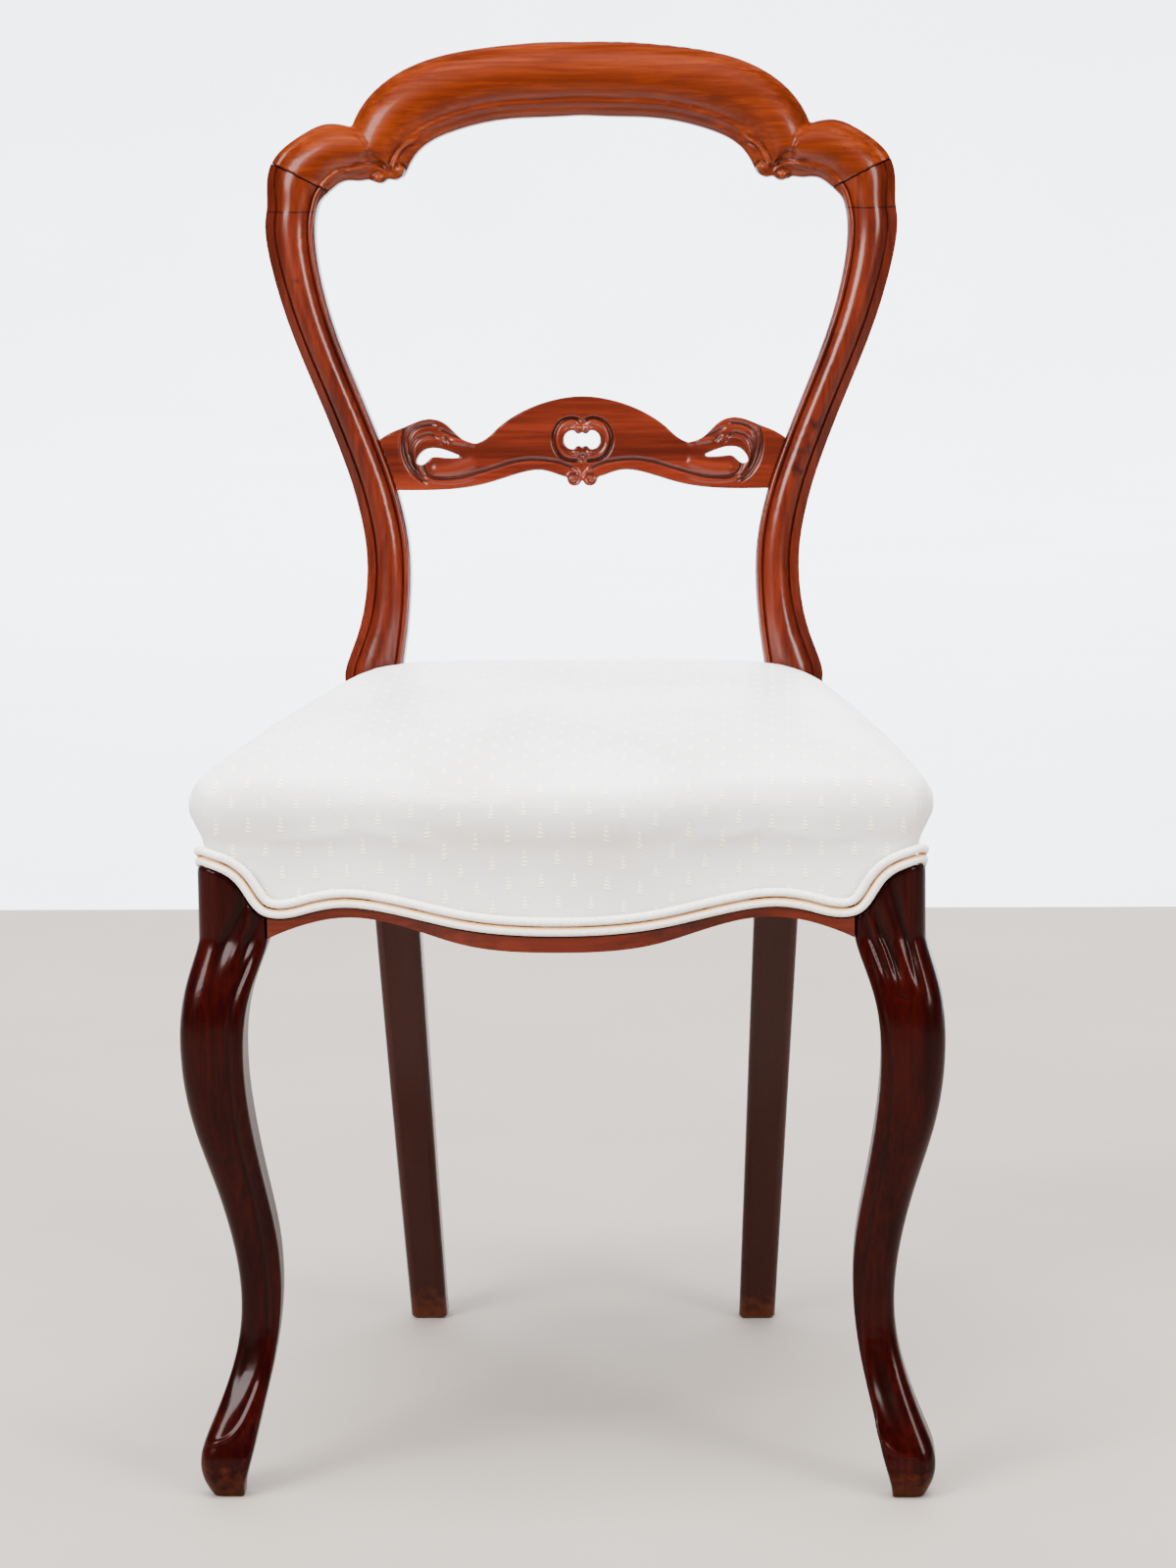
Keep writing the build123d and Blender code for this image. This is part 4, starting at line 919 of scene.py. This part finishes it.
@dataclass
class MiddleRail:
    """Strokes of the pierced rail: a leaf at each end, a ring, a fork and two volutes."""

    middle: float = 0.4             # middle of the ring, across, in mm
    ring_up: float = 616.5
    volute_up: float = 591.3

    def strokes(self) -> tuple[Stroke, ...]:
        """List all the strokes."""
        return both_sides(self._leaf()) + self._ring() + self._fork()

    @staticmethod
    def _leaf() -> tuple[Stroke, ...]:
        """Strokes of the leaf at the right end and of the tongue that it curls round."""
        outer = ((116.7, 628.6), (120.1, 625.4), (122.0, 620.1), (122.9, 613.6), (121.9, 605.7),
                 (119.7, 598.5), (115.7, 592.9), (111.1, 589.3))
        first = ((114.1, 629.6), (118.1, 626.7), (120.1, 621.4), (120.8, 615.6), (120.3, 610.3),
                 (118.7, 604.4), (115.4, 597.8), (110.4, 591.9), (104.5, 587.9))
        second = ((97.6, 627.8), (106.8, 627.2), (112.1, 625.3), (115.5, 622.1), (117.2, 617.5),
                  (117.4, 612.3), (116.4, 606.4), (113.8, 600.4), (109.7, 595.2), (104.5, 590.9))
        third = ((97.0, 617.4), (100.3, 620.3), (104.2, 621.2), (110.0, 619.2), (113.6, 615.7),
                 (114.9, 610.9), (114.9, 605.7), (113.4, 599.8), (110.4, 594.9))
        lip = ((98.3, 616.1), (100.3, 618.4), (103.6, 618.7), (107.6, 617.4), (110.6, 614.8),
               (112.3, 610.9), (113.0, 606.3), (112.0, 601.1), (109.7, 596.5), (106.5, 592.9),
               (101.8, 590.0), (91.9, 588.6), (82.0, 589.2), (70.0, 592.0))
        tongue = ((106.4, 604.3), (107.4, 601.1), (106.4, 597.1), (103.8, 593.8), (99.2, 591.8),
                  (91.9, 591.5), (84.0, 592.1), (76.7, 593.7), (70.2, 595.4), (55.4, 600.0), (46.2, 602.6),
                  (35.2, 604.1), (24.3, 603.5), (15.0, 601.8), (8.5, 599.4), (4.5, 596.5))
        return (
            Stroke(outer, 1.1, 0.5),
            Stroke(first, 1.9, -1.8),
            Stroke(second, 1.8, -1.5),
            Stroke(third, 1.5, -1.3),
            Stroke(lip, 1.2, 0.7),
            Stroke(((97.0, 619.3), (94.3, 616.7), (92.4, 614.4)), 1.4, 0.9),
            Stroke(((99.0, 616.1), (96.3, 615.4), (94.4, 613.4)), 1.2, -1.0),
            Stroke(((95.0, 620.6), (91.7, 618.0), (90.4, 614.1)), 1.5, -1.4),
            Stroke(((89.7, 617.3), (83.1, 616.3), (75.2, 614.9)), 3.0, 1.1),
            Stroke(((97.5, 625.6), (89.7, 621.6), (83.7, 619.4), (78.6, 618.4)), 1.7, -1.3),
            Stroke(((79.0, 619.6), (77.4, 617.4)), 1.3, -1.1),
            Stroke(((73.4, 615.4),), 4.2, 1.0),
            Stroke(((102.0, 597.6), (92.0, 597.4), (82.0, 599.2), (70.0, 603.2)), 5.5, 1.0),
            Stroke(tongue, 1.8, -1.6),
        )

    def _ring(self) -> tuple[Stroke, ...]:
        """Strokes of the ring round the opening, which curls in above and below it."""
        at = self.middle
        up = self.ring_up
        band = ((2.6, 10.8), (6.4, 12.2), (11.4, 11.0), (15.4, 6.6), (16.8, 0.2), (15.6, -5.4),
                (12.2, -9.2), (6.6, -11.2), (3.0, -10.4))
        moat = ((0.0, 11.6), (3.4, 14.2), (8.6, 14.8), (14.4, 12.6), (18.4, 7.0), (19.6, 0.2), (18.0, -6.2),
                (14.0, -11.2), (7.6, -13.4), (0.0, -13.8))
        right = (
            Stroke(tuple((at + x, up + z) for x, z in moat), 1.7, -1.9),
            Stroke(tuple((at + x, up + z) for x, z in band), 2.3, 1.1),
            Stroke(((at + 4.3, up + 8.6),), 2.9, 1.1),
            Stroke(((at + 4.6, up - 8.6),), 2.9, 1.1),
            Stroke(((at + 8.2, up + 9.4), (at + 8.6, up + 6.6)), 1.2, -1.2),
        )
        parting = (
            Stroke(((at, up + 11.0), (at, up + 6.0)), 1.0, -1.3),
            Stroke(((at, up - 7.0), (at, up - 13.0)), 1.0, -1.3),
        )
        return both_sides(right, at) + parting

    def _fork(self) -> tuple[Stroke, ...]:
        """Strokes of the fork and of the two volutes that hang from the middle."""
        at = self.middle
        heart = (at + 5.8, self.volute_up)
        right = (
            Stroke(((at + 8.5, 601.3), (at + 4.3, 597.6), (at + 1.6, 593.5)), 1.2, 0.9),
            Stroke(winding(heart, 4.2, 1.7, -1.6, 0.45), 1.0, -1.2),
            Stroke((heart,), 1.8, 0.9),
        )
        return both_sides(right, at) + (Stroke(((at, 601.0), (at, 597.5)), 2.6, -0.9),)


@dataclass
class CrestRail:
    """Strokes of the crest rail's two notches, where its mouldings end in curls."""

    def strokes(self) -> tuple[Stroke, ...]:
        """List all the strokes."""
        arch_curl = (120.9, 797.4)
        shoulder_curl = (135.8, 792.4)
        arch_hook = ((106.7, 820.1), (113.3, 815.7), (118.4, 812.7), (122.4, 808.1), (124.8, 803.6),
                     (125.7, 799.8), (125.2, 796.4), (123.2, 793.8), (121.3, 792.5))
        arch_moat = ((106.5, 822.9), (114.5, 817.8), (120.5, 813.2), (124.7, 808.2), (127.4, 803.7),
                     (128.2, 799.0), (127.2, 795.1), (124.9, 792.2))
        shoulder_hook = ((158.1, 796.2), (154.0, 797.8), (148.7, 799.1), (142.8, 800.0), (137.5, 799.6),
                         (133.8, 797.5), (131.5, 794.5), (131.2, 790.6))
        shoulder_moat = ((158.0, 798.6), (151.5, 801.0), (143.5, 802.3), (137.0, 802.0), (132.2, 799.3),
                         (129.4, 795.8), (129.4, 790.5))
        return both_sides((
            Stroke(arch_moat, 1.8, -0.7, 9.0),
            Stroke(arch_hook, 1.6, 1.0),
            Stroke(((110.1, 815.6), (116.6, 811.9), (120.4, 807.5), (122.6, 803.0)), 1.5, -1.0),
            Stroke(winding(arch_curl, 4.1, 4.1, 1.0), 1.4, -1.1),
            Stroke((arch_curl,), 4.0, 1.6),
            Stroke(shoulder_moat, 1.8, -0.7, 9.0),
            Stroke(shoulder_hook, 1.6, 1.0),
            Stroke(winding(shoulder_curl, 4.3, 4.3, 1.0), 1.4, -1.1),
            Stroke((shoulder_curl,), 4.2, 1.6),
            Stroke(((141.6, 796.4), (141.0, 793.3), (140.4, 790.0)), 2.2, -0.6),
            Stroke(((138.5, 807.6), (148.4, 819.7), (154.0, 825.0)), 1.4, -0.5, 6.0),
        ))


@dataclass
class FrontLegs:
    """Strokes of the front legs: flutes down the knee, an edge strip and a scooped toe."""

    def right(self) -> tuple[Stroke, ...]:
        """List the strokes of the right leg, whose knee has three flutes."""
        strip = ((183.6, 353.0), (189.5, 341.5), (193.5, 328.0), (196.4, 315.6), (199.4, 300.6),
                 (201.1, 284.0), (201.7, 265.2), (200.6, 239.4), (197.0, 212.7), (192.2, 185.8),
                 (188.0, 159.1), (184.3, 133.0), (183.0, 107.7), (184.6, 83.4), (188.0, 62.0), (192.0, 47.0))
        return (
            Stroke(((203.2, 396.0), (207.6, 369.1), (212.6, 352.9), (216.4, 339.5), (222.0, 320.0)),
                   3.8, -2.4, 30.0),
            Stroke(((200.0, 392.0), (204.6, 372.2), (209.6, 358.0), (212.8, 347.0), (215.4, 336.5)),
                   2.0, 0.9, 14.0),
            Stroke(((196.4, 388.0), (199.6, 372.0), (203.8, 359.0), (208.4, 346.0), (213.6, 331.0)),
                   3.6, 0.8, 20.0),
            Stroke(((190.0, 384.0), (195.0, 363.5), (199.9, 352.0), (204.4, 339.6), (208.4, 324.0)),
                   3.0, -2.2, 24.0),
            Stroke(((187.6, 376.0), (192.0, 362.1), (196.6, 352.0), (200.6, 340.5), (203.4, 330.0)),
                   1.6, 0.7, 14.0),
            Stroke(((185.4, 374.0), (189.4, 358.6), (193.2, 348.6), (197.0, 338.9), (201.4, 326.0)),
                   2.2, -1.6, 20.0),
            Stroke(((204.4, 322.2), (209.0, 321.4), (214.3, 319.3)), 1.9, -0.7),
            Stroke(strip, 2.0, -1.0, 16.0),
            Stroke(((190.0, 54.0), (194.6, 40.6), (198.8, 34.4), (204.4, 30.4), (211.0, 28.4), (218.4, 29.4)),
                   2.0, 1.1, 9.0),
            Stroke(((211.3, 38.6), (206.5, 46.5), (201.1, 57.8), (196.3, 72.0), (192.0, 96.0)),
                   8.0, -2.0, 34.0),
        )

    def left(self) -> tuple[Stroke, ...]:
        """List the strokes of the left leg, whose knee has two broad hollows."""
        strip = ((-188.4, 351.2), (-192.5, 341.4), (-195.7, 333.8), (-198.6, 327.0), (-201.7, 317.2),
                 (-203.9, 302.2), (-204.4, 286.8), (-203.8, 265.8), (-201.9, 239.9), (-197.8, 213.1),
                 (-193.1, 186.0), (-189.4, 159.3), (-187.3, 133.0), (-187.2, 107.6), (-188.6, 89.4))
        return (
            Stroke(((-190.0, 398.0), (-195.7, 377.5), (-201.4, 365.2), (-207.1, 353.1), (-214.4, 333.0)),
                   6.0, -2.0, 32.0),
            Stroke(((-183.6, 384.0), (-188.6, 363.0), (-193.4, 350.0), (-200.0, 332.0)), 3.6, -1.5, 26.0),
            Stroke(((-187.0, 390.0), (-192.2, 368.0), (-197.4, 354.0), (-204.0, 338.0)), 2.4, 0.8, 18.0),
            Stroke(strip, 2.2, -1.2, 16.0),
            Stroke(((-227.6, 34.0), (-218.1, 36.3), (-210.0, 39.6), (-203.0, 47.1), (-198.1, 56.5),
                    (-194.1, 66.0), (-191.2, 75.6)), 2.0, 1.1, 9.0),
            Stroke(((-219.9, 47.8), (-211.8, 60.0), (-204.5, 74.6), (-199.7, 89.3), (-197.7, 112.0)),
                   8.0, -2.0, 34.0),
        )


# -------------------------------------------------------------------- show wood
@dataclass
class ShowWood:
    """The polished frame: front legs, rear legs with their uprights, crest and rails."""

    nodes: dict

    def build(self) -> None:
        """Carve and finish every wooden piece."""
        crest = PolishedMahogany(
            "polished_mahogany_crest", "#220702", "#411303", "#602206",
            Grain.ACROSS, roughness=0.36, coat=0.12, joint=True,
        ).material()
        shoulder = PolishedMahogany(
            "polished_mahogany_shoulders", "#1C0502", "#380E03", "#541B06", coat=0.18, joint=True
        ).material()
        # the uprights carry painted shade on their lower part, below the seat
        upright = PolishedMahogany(
            "polished_mahogany_uprights", "#1A0403", "#360D05", "#501809", painted_shade_below_seat=0.95, joint=True,
            bruises=((155.2, 627.6, 6.0), (150.5, 612.6, 8.0), (144.5, 596.4, 6.0), (-190.7, 724.5, 3.0)),
        ).material()
        rail = PolishedMahogany(
            "polished_mahogany_rails", "#1D0503", "#3C1006", "#581B0B", Grain.ACROSS
        ).material()
        front = PolishedMahogany(
            "polished_mahogany_front_legs", "#060000", "#150101", "#270402", coat=0.14, shine=0.05
        ).material()
        legs = FrontLegs()
        pockets = ((140.5, 804.0, 8.0), (-140.5, 804.0, 8.0))
        CarvedPiece(self.nodes["crest_rail"], CrestRail().strokes(), 1.0, mends=pockets).build(crest)
        CarvedPiece(self.nodes["middle_rail"], MiddleRail().strokes(), 0.7).build(rail)
        for side, strokes in (("left", legs.left()), ("right", legs.right())):
            CarvedPiece(self.nodes[f"front_leg_{side}"], strokes, 1.1).build(front)
            dress(upright, self.nodes[f"rear_leg_{side}"])
            dress(shoulder, self.nodes[f"shoulder_block_{side}"])
            dress(rail, self.nodes[f"side_rail_{side}"])
        dress(rail, self.nodes["front_rail"], self.nodes["rear_rail"])


# ------------------------------------------------------------------------- seat
@dataclass
class SeatCover:
    """The stuffed seat's cloth, blown up over its stuffing and trimmed at the rim."""

    source: Object
    voxel: float = 5.6 * MM
    shrink: float = 0.6 * MM
    ledge: float = 0.85             # how far in the block's underside stays level with the rim
    rise: float = 1.2 * MM          # the firm stuffing lets the cloth out by no more,
    dip: float = 0.5 * MM           # in by no more,
    slide: float = 1.5 * MM         # and sideways by no more
    pressure: float = 4.0
    frames: int = 20
    wall: float = 1.2 * MM
    roll: float = 26 * MM           # radius of the seat's rounded edge, for the cloth's lie
    middle: tuple[float, float] = (0.0, -0.01)      # of the seat, seen from above
    outward: float = 0.2            # faces of the solid's outside look out by more than this,
    upward: float = 0.35            # or look up by more than this, well above the rails
    held_to: float = RAIL_TOP + 0.016       # the cloth is held at the rails' top, and free here
    under: float = -0.62            # block faces that look down by more than this are cut off

    def build(self) -> None:
        """Make the padded cover."""
        cover = self._outer_block()
        self._swell(cover)
        self._trim(cover)
        dress(SpottedSatin().material(), cover)
        link(cover, "seat_cover")

    def _outer_block(self) -> Object:
        """Close the cover's outside into one block of even squares.

        Returns:
            The remeshed block, drawn in by the shrink.
        """
        form = merged(self.source)
        across, along = self.middle
        inner = []
        for face in form.faces:
            spot = face.calc_center_median()
            way = Vector((spot.x - across, spot.y - along, 0)).normalized()
            outward = way.dot(face.normal) > self.outward
            upward = face.normal.z > self.upward and spot.z > RAIL_TOP + 30 * MM
            if not (outward or upward):
                inner.append(face)
        bmesh.ops.delete(form, geom=inner, context="FACES")
        rim = [edge for edge in form.edges if edge.is_boundary]
        for item in bmesh.ops.extrude_edge_only(form, edges=rim)["geom"]:
            if isinstance(item, bmesh.types.BMVert):
                item.co.x = across + (item.co.x - across) * self.ledge
                item.co.y = along + (item.co.y - along) * self.ledge
        bmesh.ops.holes_fill(form, edges=[e for e in form.edges if e.is_boundary], sides=0)
        bmesh.ops.triangulate(form, faces=form.faces)
        bmesh.ops.recalc_face_normals(form, faces=form.faces)
        block = from_bmesh(form, "seat_cover_cloth")
        form = evened(block, self.voxel)
        ease(form, 4)
        for vertex in form.verts:
            if vertex.co.z > RAIL_TOP + 8 * MM:
                vertex.co -= vertex.normal * self.shrink
        return put_back(form, block)

    def _swell(self, block: Object) -> None:
        """Blow the block up with a cloth simulation, held below the rails' top.

        Args:
            block: The remeshed block.
        """
        before = [(vertex.co.copy(), vertex.normal.copy()) for vertex in block.data.vertices]
        held = block.vertex_groups.new(name="held")
        for vertex in block.data.vertices:
            share = (self.held_to - vertex.co.z) / (self.held_to - RAIL_TOP)
            held.add([vertex.index], min(max(share, 0.0), 1.0), "REPLACE")
        cloth = block.modifiers.new("swell", "CLOTH")
        settings = cloth.settings
        settings.use_pressure = True
        settings.uniform_pressure_force = self.pressure
        settings.vertex_group_mass = "held"
        settings.effector_weights.gravity = 0.0
        settings.quality = 5
        cloth.point_cache.frame_start = 1
        cloth.point_cache.frame_end = self.frames
        scene = bpy.context.scene
        for frame in range(1, self.frames + 1):
            scene.frame_set(frame)
        apply_modifiers(block)
        scene.frame_set(1)
        for vertex, (old, way) in zip(block.data.vertices, before):
            move = vertex.co - old
            out = move.dot(way)
            slide = move - out * way
            if slide.length > self.slide:
                slide = slide.normalized() * self.slide
            vertex.co = old + slide + way * min(max(out, -self.dip), self.rise)

    def _trim(self, block: Object) -> None:
        """Cut the block open along the rim and give the cloth its thickness.

        Args:
            block: The swollen block.
        """
        form = bmesh.new()
        form.from_mesh(block.data)
        ease(form, 2)
        underside = [
            face
            for face in form.faces
            if face.normal.z < self.under and face.calc_center_median().z < RAIL_TOP
        ]
        bmesh.ops.delete(form, geom=underside, context="FACES")
        bmesh.ops.subdivide_edges(form, edges=form.edges, cuts=1, use_grid_fill=True, smooth=0.4)
        ease(form, 1, [vertex for vertex in form.verts if not vertex.is_boundary])
        layer = form.loops.layers.uv.new("cloth")
        for face in form.faces:
            for loop in face.loops:
                loop[layer].uv = self._lie(loop.vert)
        put_back(form, block)
        thickness = block.modifiers.new("cloth_thickness", "SOLIDIFY")
        thickness.thickness = self.wall
        thickness.offset = -1.0

    def _lie(self, vertex: bmesh.types.BMVert) -> tuple[float, float]:
        """Place of a point on the flat cloth, in metres.

        Args:
            vertex: Point of the cover.

        Returns:
            Distance across and along the cloth.
        """
        steep = math.acos(min(max(vertex.normal.z, 0.0), 1.0))
        spare = self.roll * (math.sin(steep) + 1 - math.cos(steep) - steep)
        side, front = vertex.normal.x, vertex.normal.y
        total = side**4 + front**4 + 1e-9       # sides take the cloth's fall by how they face
        down = (CROWN - vertex.co.z - spare) * min(1.0, 2.5 * math.hypot(side, front)) / total
        return (
            vertex.co.x + math.copysign(down * side**4, side),
            vertex.co.y + math.copysign(down * front**4, front),
        )


@dataclass
class Piping:
    """The double piping along the rim: two cloth-covered cords glued side by side."""

    nodes: dict
    seam_reach: float = 2.4 * MM

    def build(self) -> None:
        """Make the three lengths of piping."""
        cloth = CordCloth().material()
        for name, other in (
            ("piping_lower", "piping_upper"),
            ("piping_upper", "piping_lower"),
            ("piping_back", ""),
        ):
            cord = from_bmesh(merged(self.nodes[name]), f"{name}_cloth")
            self._mark_seam(cord, self.nodes[other] if other else None)
            subdivided(cord, 1)
            dress(cloth, cord)
            link(cord, name)

    def _mark_seam(self, cord: Object, neighbour: Object | None) -> None:
        """Write how near each point of a cord is to the seam beside it.

        Args:
            cord: The cord.
            neighbour: The cord that it is sewn to, or nothing for the pair at the back.
        """
        seam = cord.data.attributes.new("seam", "FLOAT", "POINT")
        if neighbour is None:
            return
        form = merged(neighbour)
        beside = BVHTree.FromBMesh(form)
        form.free()
        for i, vertex in enumerate(cord.data.vertices):
            distance = beside.find_nearest(vertex.co)[3]
            seam.data[i].value = max(0.0, 1.0 - distance / self.seam_reach)


@dataclass
class SeatInside:
    """What carries the seat: webbing, springs, hessian, stuffing, blocks and fastenings."""

    nodes: dict
    inset: float = 4.5 * MM         # how far the hair stays inside its solid, at the least,
    lump: float = 2.0 * MM          # and how much further its lumps go
    lumps_per_m: float = 60.0
    sag: float = 1.2 * MM           # of the hessian between the springs
    sags_per_m: float = 22.0
    edge_z: float = 0.425           # up to here the hessian is tacked down flat
    turned_over: float = 15 * MM    # of the hessian at each edge

    def build(self) -> None:
        """Make the soft pieces and finish the rigid ones."""
        self._webbing()
        self._springs()
        self._hessian()
        self._stuffing()
        beech = PlanedBeech().material()
        for name, node in self.nodes.items():
            if name.startswith("corner_block_") and not name.endswith("screws") or name.endswith("dowels"):
                dress(beech, node)
        steel = DrawnSteel("turned_steel_screws", "#8A8784", "#5A4030").material()
        dress(steel, self.nodes["corner_block_screws"])

    def _webbing(self) -> None:
        """Weave finish for the strips under the springs."""
        jute = PlainWeave("woven_jute_webbing", 1.2, "#B79C6C", "#6E5632").material()
        for name in ("webbing_across", "webbing_lengthwise"):
            form = merged(self.nodes[name])
            bmesh.ops.bevel(
                form,
                geom=form.edges,
                offset=0.3 * MM,
                offset_type="OFFSET",
                segments=1,
                profile=0.5,
                affect="EDGES",
                material=-1,
            )
            strips = from_bmesh(form, f"{name}_jute", smooth=False)
            dress(jute, strips)
            link(strips, name)

    def _springs(self) -> None:
        """Round the springs' wire and smooth its coils."""
        form = merged(self.nodes["seat_springs"])
        wire = subdivided(from_bmesh(form, "seat_springs_wire"), 2)
        dress(DrawnSteel("coppered_spring_wire", "#A07A58", "#5B3A26").material(), wire)
        link(wire, "seat_springs")

    def _hessian(self) -> None:
        """Stretch the cloth over the springs, a little lower between them."""
        form = merged(self.nodes["hessian"])
        bmesh.ops.triangulate(form, faces=form.faces)
        long = [edge for edge in form.edges if edge.calc_length() > 20 * MM]
        bmesh.ops.subdivide_edges(form, edges=long, cuts=3, use_grid_fill=True)
        for vertex in form.verts:
            if vertex.co.z > self.edge_z:
                vertex.co.z -= self.sag * (0.5 + 0.5 * noise.noise(vertex.co * self.sags_per_m))
        form.normal_update()
        area = sum(face.calc_area() for face in form.faces) / 2
        cloth = from_bmesh(form, "hessian_cloth", smooth=False)
        dress(PlainWeave("woven_hessian", 0.9, "#C2A774", "#77603A").material(), cloth)
        link(cloth, "hessian")

    def _stuffing(self) -> None:
        """Turn the stuffing into a lumpy mass of hair inside the cover."""
        mass = from_bmesh(merged(self.nodes["seat_stuffing"]), "seat_stuffing_hair")
        form = evened(mass, 6 * MM)
        form.normal_update()
        for vertex in form.verts:
            share = 0.5 + 0.5 * noise.noise(vertex.co * self.lumps_per_m)
            vertex.co -= vertex.normal * (self.inset + self.lump * share)
        put_back(form, mass, smooth=False)
        dress(CurledHair().material(), mass)
        link(mass, "seat_stuffing")


def main() -> None:
    """Build the studio and every sub-assembly in order."""
    logging.basicConfig(level=logging.INFO, format="%(name)s: %(message)s")
    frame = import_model()
    nodes = frame["nodes"]
    Studio().build()
    for assembly in (
        ShowWood(nodes),
        SeatInside(nodes),
        SeatCover(nodes["seat_cover"]),
        Piping(nodes),
    ):
        LOG.info("building %s", type(assembly).__name__)
        assembly.build()
    bpy.context.view_layer.update()


if __name__ == "__main__":
    main()
